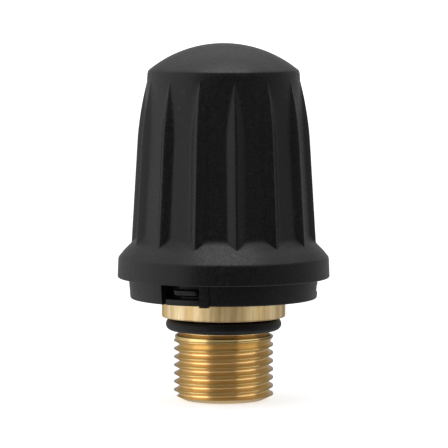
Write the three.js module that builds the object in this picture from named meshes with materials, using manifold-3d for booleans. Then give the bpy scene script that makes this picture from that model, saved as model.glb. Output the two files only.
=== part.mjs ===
// Screw-in boiler vent cap: a fluted hand grip over a brass closure with a relief valve inside.
// Millimetres, +Z up along the screw axis. The origin is the centre of the spigot's end face.
// The grip turns freely on the brass closure. Pushed down against its spring it engages a dog
// clutch, and then it turns the closure in its thread. Over-pressure lifts the relief poppet, and
// the steam leaves through the windows of the retaining ring.

import * as THREE from 'three';
import { mergeVertices } from 'three/addons/utils/BufferGeometryUtils.js';
import Module from 'manifold-3d';

const wasm = await Module();
wasm.setup();

// ---------------------------------------------------------------- driving dimensions

const FULL_TURN = 2 * Math.PI;
const ROUND_SIDES = 32;          // sides of the turned parts inside
const SHELL_SIDES = 72;          // sides of the retaining ring and the snap hooks
const BODY_SIDES = 32;           // sides of the brass closure and its thread
const BOSS_SIDES = 14;
const HOLE_SIDES = 8;
const SECTION_SIDES = 8;         // sides of the seal ring's section
const RUNNING_GAP = 0.1;         // radial or axial clearance between neighbouring pieces
const SCREW_CLEARANCE = 0.2;     // how much wider than its screw a hole is, as a radius
const PAST = 1;                  // how far a cutter, or a joined piece, runs past a face
const TOOTH_ROOTING = 0.5;       // how deep a dog tooth starts inside its plate

// Threaded spigot, M24 x 2
const THREAD = { crestR: 12, rootR: 10.75, pitch: 2, top: 16.2, crestAtX: 15.3, runOut: 0.6 };
const FLANK = { crest: 0.08, foot: 0.42 };           // where a flank ends, in pitches from the crest
const THREAD_PHASES = [-FLANK.foot, -FLANK.crest, FLANK.crest, FLANK.foot];
const SPIGOT = { endR: 9.6, chamferSlope: 2.1, boreR: 7.5, boreTop: 10.9, neckR: 6, neckTop: 13 };
const SEAL_RING = { bore: 22, section: 3, centreZ: 18.3, gap: 0.02, grooveChamfer: 0.4 };
const COLLAR = { r: 14.95, bottom: 20.1, top: 27.2, chamfer: 0.4 };
const FLANGE = { r: 18, top: 30.2 };
const TUBE = { r: 9.5, top: 53, flatX: 8.7, flatBottom: 33, flatCut: 4 };

// Relief valve inside the closure
const SEAT = { holeR: 2.8, lipR: 3.8, floor: 15.2, top: 15.8, gap: 0.05 };
const CHAMBER_R = 6.4;
const POPPET = { r: 5.4, bottom: 16.1, top: 19.6, stemR: 1.5, stemTop: 52, sealR: 4.4, sealTop: 17.0 };
const RELIEF_SPRING = { meanR: 3.9, wireR: 0.6, bottom: 19.8, top: 41.8, turns: 7 };
const ADJUSTER = { r: 6.25, bottom: 42, top: 56.6, boreR: 1.75, slotWidth: 1.6, slotDepth: 2 };
const VENT_HOLES = { r: 1.0, circleR: 4.5, count: 4, firstAngle: Math.PI / 4 };
const LOCK_NUT = { acrossFlats: 16, bottom: 53.2, top: 56.0 };
const STRAINER = { r: 7.3, bottom: 10.0, top: 10.7, holeR: 0.7, holePitch: 2.3, holesWithin: 5.5 };
const STRAINER_CLIP = { circleR: 7.45, wireR: 0.45, z: 9.4, grooveR: 8.05, grooveHalf: 0.5, gapAngle: 0.9 };

// Dog clutch: twelve face teeth on the flange and twelve on the crown
const DOG = { count: 12, width: THREE.MathUtils.degToRad(12), innerR: 12.9, outerR: 17.6, height: 3 };
const CROWN = { boreR: 12.8, r: 18.2, bottom: 36.6, top: 39.4, tipZ: 33.7 };
const CROWN_SCREW = { circleR: 15.2, headR: 2.3, headHeight: 1.2, shankR: 1.2, top: 46 };
const SCREWS_PER_RING = 3;

// Return spring under the grip, and what it pushes on
const SPRING_SEAT = { innerR: 9.7, r: 12.4, bottom: 30.3, top: 31.0 };
const GRIP_SPRING = { meanR: 11.05, wireR: 0.6, bottom: 31.2, top: 45.2, turns: 5 };
const SPRING_PLATE = { innerR: 9.6, r: 12.4, bottom: 45.4, top: 46.4 };
const UPPER_WASHER = { innerR: 9.7, r: 12.4, bottom: 46.5, top: 47.2 };
const LOWER_WASHER = { innerR: 15.3, r: 18.0, bottom: 26.5, top: 27.1 };
const GUIDE_BUSH = { innerR: 9.6, r: 11.4, flangeR: 12.8, bottom: 47.3, flangeTop: 48.1, top: 52.2 };

// Grip shell: skirt, cone, fourteen pointed ribs on a tapered wall, plain band and dome
const SKIRT = { bottom: 29.6, edgeR: 25.6, edge: 0.5, shoulderR: 25.4, shoulderZ: 34.4 };
const CONE = { topR: 22.3, topZ: 37.9 };
const GROOVE = { lowR: 20.7, lowZ: 39.5, highR: 18.43, highZ: 77.0 };
const RIBS = {
  count: 14, firstAngle: THREE.MathUtils.degToRad(-81.8), flankSlope: 0.85, height: 1.52, runOutFrom: 62,
};
const RIB_LEVELS = [37.9, 38.7, 39.5, 45, 50.5, 56, 62, 66, 69.5, 72.5, 75, 77];
const DOME = { edgeR: 18.18, edgeZ: 79.4, apexZ: 86.0, rings: 6, tipR: 0.01 };
const CAVITY = {
  lowR: 18.6, lowTop: 39.5, highR: 15.9, highZ: 76, shoulderR: 14.3, shoulderZ: 78.6,
  crownR: 8.0, crownZ: 82.4, apexZ: 83.5,
};
const SLEEVE = { bottom: 26.9, r: 20.4 };
const CHANNEL = { r: 23.2, top: 33.0 };

// Retaining ring and its three snap windows, with angles from the front (-Y) towards +X
const RING = {
  bottom: 24.6, lowR: 22.5, highR: 22.9, top: 32.6, boreR: 15.3, lipTop: 26.4, wallR: 20.6, chamfer: 0.4,
};
const WINDOW = { from: -40.3, to: -14.4, bottom: 26.0, top: 29.6, slotTo: -37.0, innerR: 18.4 };
const POST = { from: -14.4, to: -8.8, r: 23.1, bottom: 24.3, top: 29.3 };
const HOOK = {
  from: -32, to: -16, bottom: 27.0, top: 28.3, rootR: 19.8, toeR: 22.3, heelR: 23.2,
  slitFrom: -41.5, slitTo: -13.6,
};
const WINDOW_COUNT = 3;

// Inner core of the grip
const CORE = { webBottom: 50, webTop: 52.4, r: 17.2, hubR: 12.7, hubBottom: 48.2, boreR: 11.5 };
const CORE_BOSS_R = 2.3;
const CORE_SCREW = {
  circleR: 14.9, firstAngle: Math.PI / 3, headR: 1.9, headHeight: 1.5, shankR: 1.0, top: 59,
};
const CAP_BOSS = { r: 2.6, bottom: 52.6, top: 66 };
const KEY = { width: 3, innerR: 16.4, bottom: 44, top: 58, degrees: 30 };
const KEY_NOTCH = { extra: 0.3, depth: 6 };
const STEAM_HOLE = { r: 1.6, circleR: 15.0, count: 6, firstAngle: Math.PI / 6 };
const DEFLECTOR = { r: 10.8, earR: 2.0, circleR: 12.4, postR: 1.5, bottom: 60, top: 60.8 };
const DEFLECTOR_SCREW = { headR: 1.9, headHeight: 1.3, shankR: 0.8, bottom: 55 };

// ---------------------------------------------------------------- solid helpers

function toSolid(geometry) {
  geometry.deleteAttribute('normal');
  geometry.deleteAttribute('uv');
  const merged = mergeVertices(geometry, 1e-4);
  const index = merged.index.array;
  const triangles = [];
  for (let i = 0; i < index.length; i += 3) {
    const [a, b, c] = [index[i], index[i + 1], index[i + 2]];
    if (a !== b && b !== c && c !== a) {
      triangles.push(a, b, c);
    }
  }
  const vertProperties = new Float32Array(merged.attributes.position.array);
  const triVerts = new Uint32Array(triangles);
  return new wasm.Manifold(new wasm.Mesh({ numProp: 3, vertProperties, triVerts }));
}

function toGeometry(solid) {
  const mesh = solid.getMesh();
  const geometry = new THREE.BufferGeometry();
  geometry.setAttribute('position', new THREE.BufferAttribute(mesh.vertProperties, 3));
  geometry.setIndex(new THREE.BufferAttribute(mesh.triVerts, 1));
  geometry.computeVertexNormals();
  return geometry;
}

function signedArea(points) {
  let sum = 0;
  points.forEach(([r, z], i) => {
    const [nextR, nextZ] = points[(i + 1) % points.length];
    sum += r * nextZ - nextR * z;
  });
  return sum / 2;
}

// Turned solid from [radius, z] points that start and end on the axis, or form a closed loop.
function turned(points, sides = ROUND_SIDES) {
  const outline = signedArea(points) > 0 ? [...points] : [...points].reverse();
  const onAxis = outline.filter(([r]) => r === 0).length >= 2;
  if (onAxis) {
    while (outline[0][0] !== 0 || outline[outline.length - 1][0] !== 0) {
      outline.push(outline.shift());
    }
  } else {
    outline.push(outline[0]);
  }
  const profile = outline.map(([r, z]) => new THREE.Vector2(r, z));
  const geometry = new THREE.LatheGeometry(profile, sides);
  geometry.rotateX(Math.PI / 2);
  return toSolid(geometry);
}

function disc(r, bottom, top, sides = ROUND_SIDES) {
  return turned([[0, bottom], [r, bottom], [r, top], [0, top]], sides);
}

// Cutter for a round hole through what lies between two heights.
function hole(r, bottom, top, sides = HOLE_SIDES) {
  return disc(r, bottom - PAST, top + PAST, sides);
}

function washer(innerR, r, bottom, top, sides = ROUND_SIDES) {
  return turned([[innerR, bottom], [r, bottom], [r, top], [innerR, top]], sides);
}

function box(width, depth, bottom, top, x = 0, y = 0) {
  const geometry = new THREE.BoxGeometry(width, depth, top - bottom);
  geometry.translate(x, y, (bottom + top) / 2);
  return toSolid(geometry);
}

// Prism over a sector of a circle, from one angle to another.
function sector(from, to, bottom, top, reach = 2 * FLANGE.r) {
  const shape = new THREE.Shape();
  shape.moveTo(0, 0);
  shape.absarc(0, 0, reach, from, to, false);
  shape.lineTo(0, 0);
  const options = { depth: top - bottom, bevelEnabled: false, curveSegments: 12 };
  const geometry = new THREE.ExtrudeGeometry(shape, options);
  geometry.translate(0, 0, bottom);
  return toSolid(geometry);
}

function turnedSector(points, from, to, sides = SHELL_SIDES) {
  const heights = points.map(([, z]) => z);
  const bottom = Math.min(...heights) - PAST;
  const top = Math.max(...heights) + PAST;
  return turned(points, sides).intersect(sector(from, to, bottom, top));
}

function ringOf(count, circleR, firstAngle, make) {
  const copies = [];
  for (let i = 0; i < count; i += 1) {
    const angle = firstAngle + (i * FULL_TURN) / count;
    copies.push(make().translate([circleR * Math.cos(angle), circleR * Math.sin(angle), 0]));
  }
  return joined(copies);
}

function turnedCopies(solid, count) {
  const copies = [];
  for (let i = 0; i < count; i += 1) {
    copies.push(solid.rotate([0, 0, (360 * i) / count]));
  }
  return joined(copies);
}

function joined(solids) {
  return solids.reduce((sum, next) => sum.add(next));
}

function cutBy(solid, cutters) {
  return cutters.reduce((rest, cutter) => rest.subtract(cutter), solid);
}

// Angle in radians from +X for an angle in degrees from the front, positive towards +X.
function fromFront(degrees) {
  return THREE.MathUtils.degToRad(degrees - 90);
}

// ---------------------------------------------------------------- curves for springs and clips

class CoilCurve extends THREE.Curve {
  constructor({ meanR, wireR, bottom, top, turns }) {
    super();
    Object.assign(this, { meanR, wireR, bottom, top, turns });
  }

  // The first and the last turn lie flat, and the turns between them share the rise.
  getPoint(t, target = new THREE.Vector3()) {
    const turn = t * this.turns;
    const active = THREE.MathUtils.clamp((turn - 1) / (this.turns - 2), 0, 1);
    const flat = 2 * this.wireR * (Math.min(turn, 1) + Math.max(turn - this.turns + 1, 0));
    const rise = this.top - this.bottom - 6 * this.wireR;
    const z = this.bottom + this.wireR + flat + active * rise;
    const angle = turn * FULL_TURN;
    return target.set(this.meanR * Math.cos(angle), this.meanR * Math.sin(angle), z);
  }
}

class ArcCurve extends THREE.Curve {
  constructor(r, z, from, to) {
    super();
    Object.assign(this, { r, z, from, to });
  }

  getPoint(t, target = new THREE.Vector3()) {
    const angle = this.from + t * (this.to - this.from);
    return target.set(this.r * Math.cos(angle), this.r * Math.sin(angle), this.z);
  }
}

function wire(curve, wireR, steps) {
  const section = new THREE.Shape();
  section.absarc(0, 0, wireR, 0, FULL_TURN, false);
  const options = { steps, extrudePath: curve, curveSegments: 3, bevelEnabled: false };
  return toSolid(new THREE.ExtrudeGeometry(section, options));
}

function coilSpring(spec) {
  return wire(new CoilCurve(spec), spec.wireR, spec.turns * 12);
}

// ---------------------------------------------------------------- grid surfaces

// Closed solid from rings of points, all with the same count, listed from bottom to top.
function stackedRings(rings) {
  const around = rings[0].length;
  const positions = rings.flat(2);
  const bottomCentre = positions.length / 3;
  positions.push(0, 0, rings[0][0][2]);
  positions.push(0, 0, rings[rings.length - 1][0][2]);
  const topCentre = bottomCentre + 1;
  const lastRow = (rings.length - 1) * around;
  const index = [];
  for (let i = 0; i < around; i += 1) {
    const next = (i + 1) % around;
    index.push(bottomCentre, next, i);
    index.push(topCentre, lastRow + i, lastRow + next);
    for (let row = 0; row < rings.length - 1; row += 1) {
      const low = row * around;
      const high = low + around;
      index.push(low + i, low + next, high + next);
      index.push(low + i, high + next, high + i);
    }
  }
  return indexedSolid(positions, index);
}

function indexedSolid(positions, index) {
  const geometry = new THREE.BufferGeometry();
  geometry.setAttribute('position', new THREE.Float32BufferAttribute(positions, 3));
  geometry.setIndex(index);
  return toSolid(geometry);
}

function circlePoint(r, angle, z) {
  return [r * Math.cos(angle), r * Math.sin(angle), z];
}

// ---------------------------------------------------------------- grip shell

// Ring of the grip's outside: a groove centre, a rib foot, the crest and a foot for every rib.
function gripRing(z, surfaceR, crestR) {
  const pitch = FULL_TURN / RIBS.count;
  const halfFoot = (crestR - surfaceR) / RIBS.flankSlope / surfaceR;
  const ring = [];
  for (let i = 0; i < RIBS.count; i += 1) {
    const crestAngle = RIBS.firstAngle + i * pitch;
    ring.push(circlePoint(surfaceR, crestAngle - pitch / 2, z));
    ring.push(circlePoint(surfaceR, crestAngle - halfFoot, z));
    ring.push(circlePoint(crestR, crestAngle, z));
    ring.push(circlePoint(surfaceR, crestAngle + halfFoot, z));
  }
  return ring;
}

// The same ring with no rib: the points are spread evenly.
function plainRing(z, r) {
  const count = RIBS.count * 4;
  const ring = [];
  for (let i = 0; i < count; i += 1) {
    ring.push(circlePoint(r, RIBS.firstAngle + ((i - 2) * FULL_TURN) / count, z));
  }
  return ring;
}

function taperRadius(z) {
  const share = (z - GROOVE.lowZ) / (GROOVE.highZ - GROOVE.lowZ);
  return GROOVE.lowR + share * (GROOVE.highR - GROOVE.lowR);
}

// Between the ribs: the skirt's cone below, and the tapered wall above it.
function grooveRadius(z) {
  return Math.max(CONE.topR + CONE.topZ - z, taperRadius(z));
}

// The ribs keep one height over the tapered wall, and then run out into it along a parabola.
function crestRadius(z) {
  const runOut = Math.max(0, (z - RIBS.runOutFrom) / (GROOVE.highZ - RIBS.runOutFrom));
  return taperRadius(z) + RIBS.height * (1 - runOut ** 2);
}

function gripOutside() {
  const rings = [
    plainRing(SKIRT.bottom, SKIRT.edgeR - SKIRT.edge),
    plainRing(SKIRT.bottom + SKIRT.edge, SKIRT.edgeR),
    plainRing(SKIRT.shoulderZ, SKIRT.shoulderR),
  ];
  for (const z of RIB_LEVELS) {
    rings.push(gripRing(z, grooveRadius(z), Math.max(crestRadius(z), grooveRadius(z))));
  }
  rings.push(plainRing(DOME.edgeZ, DOME.edgeR));
  const rise = DOME.apexZ - DOME.edgeZ;
  const sphereR = (DOME.edgeR ** 2 + rise ** 2) / (2 * rise);
  const edgeAngle = Math.asin(DOME.edgeR / sphereR);
  for (let i = 1; i < DOME.rings; i += 1) {
    const angle = edgeAngle * (1 - i / DOME.rings);
    const z = DOME.apexZ - sphereR * (1 - Math.cos(angle));
    rings.push(plainRing(z, sphereR * Math.sin(angle)));
  }
  rings.push(plainRing(DOME.apexZ, DOME.tipR));
  return stackedRings(rings);
}

function gripCap() {
  const cavity = turned([
    [0, SLEEVE.bottom - PAST],
    [CAVITY.lowR, SLEEVE.bottom - PAST],
    [CAVITY.lowR, CAVITY.lowTop],
    [CAVITY.highR, CAVITY.highZ],
    [CAVITY.shoulderR, CAVITY.shoulderZ],
    [CAVITY.crownR, CAVITY.crownZ],
    [0, CAVITY.apexZ],
  ]);
  const sleeve = washer(CAVITY.lowR, SLEEVE.r, SLEEVE.bottom, SKIRT.shoulderZ);
  const channel = washer(SLEEVE.r, CHANNEL.r, SKIRT.bottom - PAST, CHANNEL.top);
  const bosses = ringOf(SCREWS_PER_RING, CORE_SCREW.circleR, CORE_SCREW.firstAngle,
    () => disc(CAP_BOSS.r, CAP_BOSS.bottom, CAP_BOSS.top, BOSS_SIDES));
  const pilots = ringOf(SCREWS_PER_RING, CORE_SCREW.circleR, CORE_SCREW.firstAngle,
    () => hole(CORE_SCREW.shankR + RUNNING_GAP, CAP_BOSS.bottom, CORE_SCREW.top));
  const keyDepth = CAVITY.lowR - KEY.innerR;
  const key = box(keyDepth, KEY.width, KEY.bottom, KEY.top, KEY.innerR + keyDepth / 2, 0);
  const keys = turnedCopies(key.rotate([0, 0, KEY.degrees]), SCREWS_PER_RING);
  const outside = gripOutside();
  const inner = joined([bosses, keys]).intersect(outside);
  const shell = cutBy(outside, [cavity, channel]).add(sleeve).add(inner);
  return cutBy(shell, [pilots, hookSlits()]).add(snapHooks());
}

// Wedges on the snap sleeve, one standing in every window of the ring.
function snapHooks() {
  const wedge = [
    [HOOK.rootR, HOOK.bottom], [HOOK.toeR, HOOK.bottom],
    [HOOK.heelR, HOOK.top], [HOOK.rootR, HOOK.top],
  ];
  const hook = turnedSector(wedge, fromFront(HOOK.from), fromFront(HOOK.to));
  return turnedCopies(hook, WINDOW_COUNT);
}

// A slit on each side of every hook lets its tongue bend.
function hookSlits() {
  const outerR = SLEEVE.r + RUNNING_GAP / 2;
  const outline = [
    [CAVITY.lowR - PAST, SLEEVE.bottom - PAST], [outerR, SLEEVE.bottom - PAST],
    [outerR, CHANNEL.top - PAST], [CAVITY.lowR - PAST, CHANNEL.top - PAST],
  ];
  const ends = [[HOOK.slitFrom, HOOK.from], [HOOK.to, HOOK.slitTo]];
  const slits = ends.map(([from, to]) => turnedSector(outline, fromFront(from), fromFront(to)));
  return turnedCopies(joined(slits), WINDOW_COUNT);
}

function retainingRing() {
  const body = turned([
    [RING.boreR, RING.bottom],
    [RING.lowR - RING.chamfer, RING.bottom],
    [RING.lowR, RING.bottom + RING.chamfer],
    [RING.highR, SKIRT.bottom],
    [RING.highR, RING.top],
    [RING.wallR, RING.top],
    [RING.wallR, RING.lipTop],
    [RING.boreR, RING.lipTop],
  ], SHELL_SIDES);
  const openingOutline = (bottom) => [
    [WINDOW.innerR, bottom], [RING.highR + PAST, bottom],
    [RING.highR + PAST, WINDOW.top], [WINDOW.innerR, WINDOW.top],
  ];
  const opening = turnedSector(
    openingOutline(WINDOW.bottom), fromFront(WINDOW.from), fromFront(WINDOW.to));
  const slot = turnedSector(
    openingOutline(RING.bottom - PAST), fromFront(WINDOW.from), fromFront(WINDOW.slotTo));
  const post = turnedSector([
    [RING.lowR - PAST, POST.bottom], [POST.r, POST.bottom],
    [POST.r, POST.top], [RING.lowR - PAST, POST.top],
  ], fromFront(POST.from), fromFront(POST.to));
  const openings = turnedCopies(opening.add(slot), WINDOW_COUNT);
  return body.subtract(openings).add(turnedCopies(post, WINDOW_COUNT));
}

function gripCore() {
  const web = disc(CORE.r, CORE.webBottom, CORE.webTop);
  const hub = disc(CORE.hubR, CORE.hubBottom, CORE.webTop);
  const screwBosses = ringOf(SCREWS_PER_RING, CROWN_SCREW.circleR, 0,
    () => disc(CORE_BOSS_R, CROWN.top + RUNNING_GAP, CORE.webBottom + PAST, BOSS_SIDES));
  const posts = ringOf(SCREWS_PER_RING, DEFLECTOR.circleR, 0,
    () => disc(DEFLECTOR.postR, CORE.webTop - RUNNING_GAP, DEFLECTOR.bottom - RUNNING_GAP, BOSS_SIDES));
  const bore = hole(CORE.boreR, CORE.hubBottom, CORE.webTop, ROUND_SIDES);
  const crownPilots = ringOf(SCREWS_PER_RING, CROWN_SCREW.circleR, 0,
    () => hole(CROWN_SCREW.shankR + RUNNING_GAP, CROWN.top, CROWN_SCREW.top));
  const deflectorPilots = ringOf(SCREWS_PER_RING, DEFLECTOR.circleR, 0,
    () => hole(DEFLECTOR_SCREW.shankR + RUNNING_GAP, DEFLECTOR_SCREW.bottom, DEFLECTOR.bottom));
  const screwHoles = ringOf(SCREWS_PER_RING, CORE_SCREW.circleR, CORE_SCREW.firstAngle,
    () => hole(CORE_SCREW.shankR + SCREW_CLEARANCE, CORE.webBottom, CORE.webTop));
  const steamHoles = ringOf(STEAM_HOLE.count, STEAM_HOLE.circleR, STEAM_HOLE.firstAngle,
    () => hole(STEAM_HOLE.r, CORE.webBottom, CORE.webTop));
  const notchWidth = KEY.width + 2 * KEY_NOTCH.extra;
  const notchX = KEY.innerR - KEY_NOTCH.extra + KEY_NOTCH.depth / 2;
  const notch = box(KEY_NOTCH.depth, notchWidth, CORE.webBottom - PAST, CORE.webTop + PAST, notchX, 0);
  const notches = turnedCopies(notch.rotate([0, 0, KEY.degrees]), SCREWS_PER_RING);
  const solid = joined([web, hub, screwBosses]).subtract(bore).add(posts);
  return cutBy(solid, [crownPilots, deflectorPilots, screwHoles, steamHoles, notches]);
}

function driveCrown() {
  const plate = washer(CROWN.boreR, CROWN.r, CROWN.bottom, CROWN.top);
  const teeth = dogTeeth(CROWN.tipZ, CROWN.bottom + TOOTH_ROOTING, 0.5);
  const holes = ringOf(SCREWS_PER_RING, CROWN_SCREW.circleR, 0, () => turned([
    [0, CROWN.bottom - PAST],
    [CROWN_SCREW.headR + SCREW_CLEARANCE, CROWN.bottom - PAST],
    [CROWN_SCREW.headR + SCREW_CLEARANCE, CROWN.bottom],
    [CROWN_SCREW.shankR + SCREW_CLEARANCE, CROWN.bottom + CROWN_SCREW.headHeight],
    [CROWN_SCREW.shankR + SCREW_CLEARANCE, CROWN.top + PAST],
    [0, CROWN.top + PAST],
  ], HOLE_SIDES));
  return plate.add(teeth).subtract(holes);
}

// Ring of face teeth. The phase is counted in tooth pitches.
function dogTeeth(bottom, top, phase) {
  const pitch = FULL_TURN / DOG.count;
  const outline = [
    [DOG.innerR, bottom], [DOG.outerR, bottom], [DOG.outerR, top], [DOG.innerR, top],
  ];
  const centre = phase * pitch;
  const tooth = turnedSector(outline, centre - DOG.width / 2, centre + DOG.width / 2, BODY_SIDES);
  return turnedCopies(tooth, DOG.count);
}

// ---------------------------------------------------------------- brass closure

// Rod with a helical ridge. Its rows of points climb one pitch per turn, so each row ends where a
// later row starts. Rows are held between the rod's two ends, where they close up into circles.
function threadedRod() {
  const { crestR, rootR, pitch, top, crestAtX } = THREAD;
  const bottom = -pitch;
  const perPitch = THREAD_PHASES.length;
  const pitchesBelow = Math.ceil((crestAtX - bottom) / pitch) + 1;
  const rows = [];
  for (let turn = -pitchesBelow; turn <= 1; turn += 1) {
    for (const phase of THREAD_PHASES) {
      rows.push(crestAtX + (turn + phase) * pitch);
    }
  }
  const positions = [];
  for (const rowZ of rows) {
    for (let i = 0; i < BODY_SIDES; i += 1) {
      const climb = (pitch * i) / BODY_SIDES;
      const z = THREE.MathUtils.clamp(rowZ + climb, bottom, top);
      const pitchesFromCrest = (z - climb - crestAtX) / pitch;
      const phase = Math.abs(pitchesFromCrest - Math.round(pitchesFromCrest));
      const flank = THREE.MathUtils.clamp((FLANK.foot - phase) / (FLANK.foot - FLANK.crest), 0, 1);
      const r = rootR + (crestR - rootR) * flank;
      positions.push(...circlePoint(r, (i * FULL_TURN) / BODY_SIDES, z));
    }
  }
  const lastRow = rows.length - 1;
  const vertex = (row, i) => (i < BODY_SIDES
    ? row * BODY_SIDES + i
    : Math.min(row + perPitch, lastRow) * BODY_SIDES);
  const index = [];
  for (let row = 0; row < lastRow; row += 1) {
    for (let i = 0; i < BODY_SIDES; i += 1) {
      const [a, b] = [vertex(row, i), vertex(row, i + 1)];
      const [c, d] = [vertex(row + 1, i + 1), vertex(row + 1, i)];
      index.push(a, b, c, a, c, d);
    }
  }
  const bottomCentre = positions.length / 3;
  positions.push(0, 0, bottom, 0, 0, top);
  for (let i = 0; i < BODY_SIDES; i += 1) {
    const next = (i + 1) % BODY_SIDES;
    index.push(bottomCentre, next, i);
    index.push(bottomCentre + 1, lastRow * BODY_SIDES + i, lastRow * BODY_SIDES + next);
  }
  return indexedSolid(positions, index);
}

// The spigot's envelope: a chamfered end below, and a run-out under the seal groove.
function spigotEnvelope() {
  const outsideR = THREAD.crestR + RUNNING_GAP;
  return turned([
    [0, 0],
    [SPIGOT.endR, 0],
    [outsideR, (outsideR - SPIGOT.endR) / SPIGOT.chamferSlope],
    [outsideR, THREAD.top - THREAD.runOut],
    [THREAD.rootR, THREAD.top],
    [0, THREAD.top],
  ], BODY_SIDES);
}

function closureBody() {
  const grooveR = SEAL_RING.bore / 2 - RUNNING_GAP;
  const coreR = THREAD.rootR - 2 * RUNNING_GAP;
  const upper = turned([
    [0, THREAD.top - PAST],
    [coreR, THREAD.top - PAST],
    [coreR, THREAD.top],
    [grooveR, THREAD.top + SEAL_RING.grooveChamfer],
    [grooveR, COLLAR.bottom],
    [COLLAR.r - COLLAR.chamfer, COLLAR.bottom],
    [COLLAR.r, COLLAR.bottom + COLLAR.chamfer],
    [COLLAR.r, COLLAR.top],
    [FLANGE.r, COLLAR.top],
    [FLANGE.r, FLANGE.top],
    [TUBE.r, FLANGE.top],
    [TUBE.r, TUBE.top],
    [0, TUBE.top],
  ], BODY_SIDES);
  const bore = turned([
    [0, -PAST],
    [SPIGOT.boreR, -PAST],
    [SPIGOT.boreR, STRAINER_CLIP.z - STRAINER_CLIP.grooveHalf],
    [STRAINER_CLIP.grooveR, STRAINER_CLIP.z - STRAINER_CLIP.grooveHalf],
    [STRAINER_CLIP.grooveR, STRAINER_CLIP.z + STRAINER_CLIP.grooveHalf],
    [SPIGOT.boreR, STRAINER_CLIP.z + STRAINER_CLIP.grooveHalf],
    [SPIGOT.boreR, SPIGOT.boreTop],
    [SPIGOT.neckR, SPIGOT.boreTop],
    [SPIGOT.neckR, SPIGOT.neckTop],
    [SEAT.holeR, SPIGOT.neckTop],
    [SEAT.holeR, SEAT.top],
    [SEAT.lipR, SEAT.top],
    [SEAT.lipR, SEAT.floor],
    [CHAMBER_R, SEAT.floor],
    [CHAMBER_R, TUBE.top + PAST],
    [0, TUBE.top + PAST],
  ]);
  const flatX = TUBE.flatX + TUBE.flatCut / 2;
  const flats = [1, -1].map((side) => box(
    TUBE.flatCut, 2 * TUBE.r, TUBE.flatBottom, TUBE.top + PAST, side * flatX, 0));
  const teeth = dogTeeth(FLANGE.top - TOOTH_ROOTING, FLANGE.top + DOG.height, 0);
  const spigot = threadedRod().intersect(spigotEnvelope());
  const solid = joined([spigot, upper, teeth]);
  return cutBy(solid, [bore, ...flats]);
}

function sealRing() {
  const sectionR = SEAL_RING.section / 2 - SEAL_RING.gap;
  const centreR = SEAL_RING.bore / 2 + SEAL_RING.section / 2;
  const points = [];
  for (let i = 0; i < SECTION_SIDES; i += 1) {
    const angle = (i * FULL_TURN) / SECTION_SIDES;
    points.push([centreR + sectionR * Math.cos(angle), SEAL_RING.centreZ + sectionR * Math.sin(angle)]);
  }
  return turned(points, BODY_SIDES);
}

// ---------------------------------------------------------------- valve pieces

function reliefPoppet() {
  return turned([
    [0, POPPET.sealTop + RUNNING_GAP],
    [POPPET.sealR + RUNNING_GAP, POPPET.sealTop + RUNNING_GAP],
    [POPPET.sealR + RUNNING_GAP, POPPET.bottom],
    [POPPET.r, POPPET.bottom],
    [POPPET.r, POPPET.top],
    [POPPET.stemR, POPPET.top],
    [POPPET.stemR, POPPET.stemTop],
    [0, POPPET.stemTop],
  ]);
}

function reliefAdjuster() {
  const screw = washer(ADJUSTER.boreR, ADJUSTER.r, ADJUSTER.bottom, ADJUSTER.top);
  const slotFloor = ADJUSTER.top - ADJUSTER.slotDepth;
  const slot = box(3 * ADJUSTER.r, ADJUSTER.slotWidth, slotFloor, ADJUSTER.top + PAST);
  const vents = ringOf(VENT_HOLES.count, VENT_HOLES.circleR, VENT_HOLES.firstAngle,
    () => hole(VENT_HOLES.r, ADJUSTER.bottom, ADJUSTER.top));
  return cutBy(screw, [slot, vents]);
}

function lockNut() {
  const cornerR = LOCK_NUT.acrossFlats / Math.sqrt(3);
  const hexagon = disc(cornerR, LOCK_NUT.bottom, LOCK_NUT.top, 6);
  return hexagon.subtract(hole(ADJUSTER.r + RUNNING_GAP, LOCK_NUT.bottom, LOCK_NUT.top, ROUND_SIDES));
}

function circleOutline(r, sides, x = 0, y = 0) {
  const points = [];
  for (let i = 0; i < sides; i += 1) {
    const angle = (i * FULL_TURN) / sides;
    points.push(new THREE.Vector2(x + r * Math.cos(angle), y + r * Math.sin(angle)));
  }
  return points;
}

function inletStrainer() {
  const plate = new THREE.Shape(circleOutline(STRAINER.r, ROUND_SIDES));
  const reach = Math.ceil(STRAINER.r / STRAINER.holePitch) + 1;
  for (let row = -reach; row <= reach; row += 1) {
    for (let column = -reach; column <= reach; column += 1) {
      const x = (column + row / 2) * STRAINER.holePitch;
      const y = row * STRAINER.holePitch * Math.sin(Math.PI / 3);
      if (Math.hypot(x, y) < STRAINER.holesWithin) {
        plate.holes.push(new THREE.Path(circleOutline(STRAINER.holeR, 6, x, y)));
      }
    }
  }
  const options = { depth: STRAINER.top - STRAINER.bottom, bevelEnabled: false };
  const geometry = new THREE.ExtrudeGeometry(plate, options);
  geometry.translate(0, 0, STRAINER.bottom);
  return toSolid(geometry);
}

function strainerClip() {
  const { circleR, wireR, z, gapAngle } = STRAINER_CLIP;
  const curve = new ArcCurve(circleR, z, gapAngle / 2, FULL_TURN - gapAngle / 2);
  return wire(curve, wireR, 28);
}

function springPlate() {
  const plate = disc(SPRING_PLATE.r, SPRING_PLATE.bottom, SPRING_PLATE.top);
  const bore = hole(SPRING_PLATE.innerR, SPRING_PLATE.bottom, SPRING_PLATE.top, ROUND_SIDES);
  const keyWidth = 2 * (TUBE.flatX + RUNNING_GAP);
  const key = box(keyWidth, 2 * SPRING_PLATE.r, SPRING_PLATE.bottom - PAST, SPRING_PLATE.top + PAST);
  return plate.subtract(bore.intersect(key));
}

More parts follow.
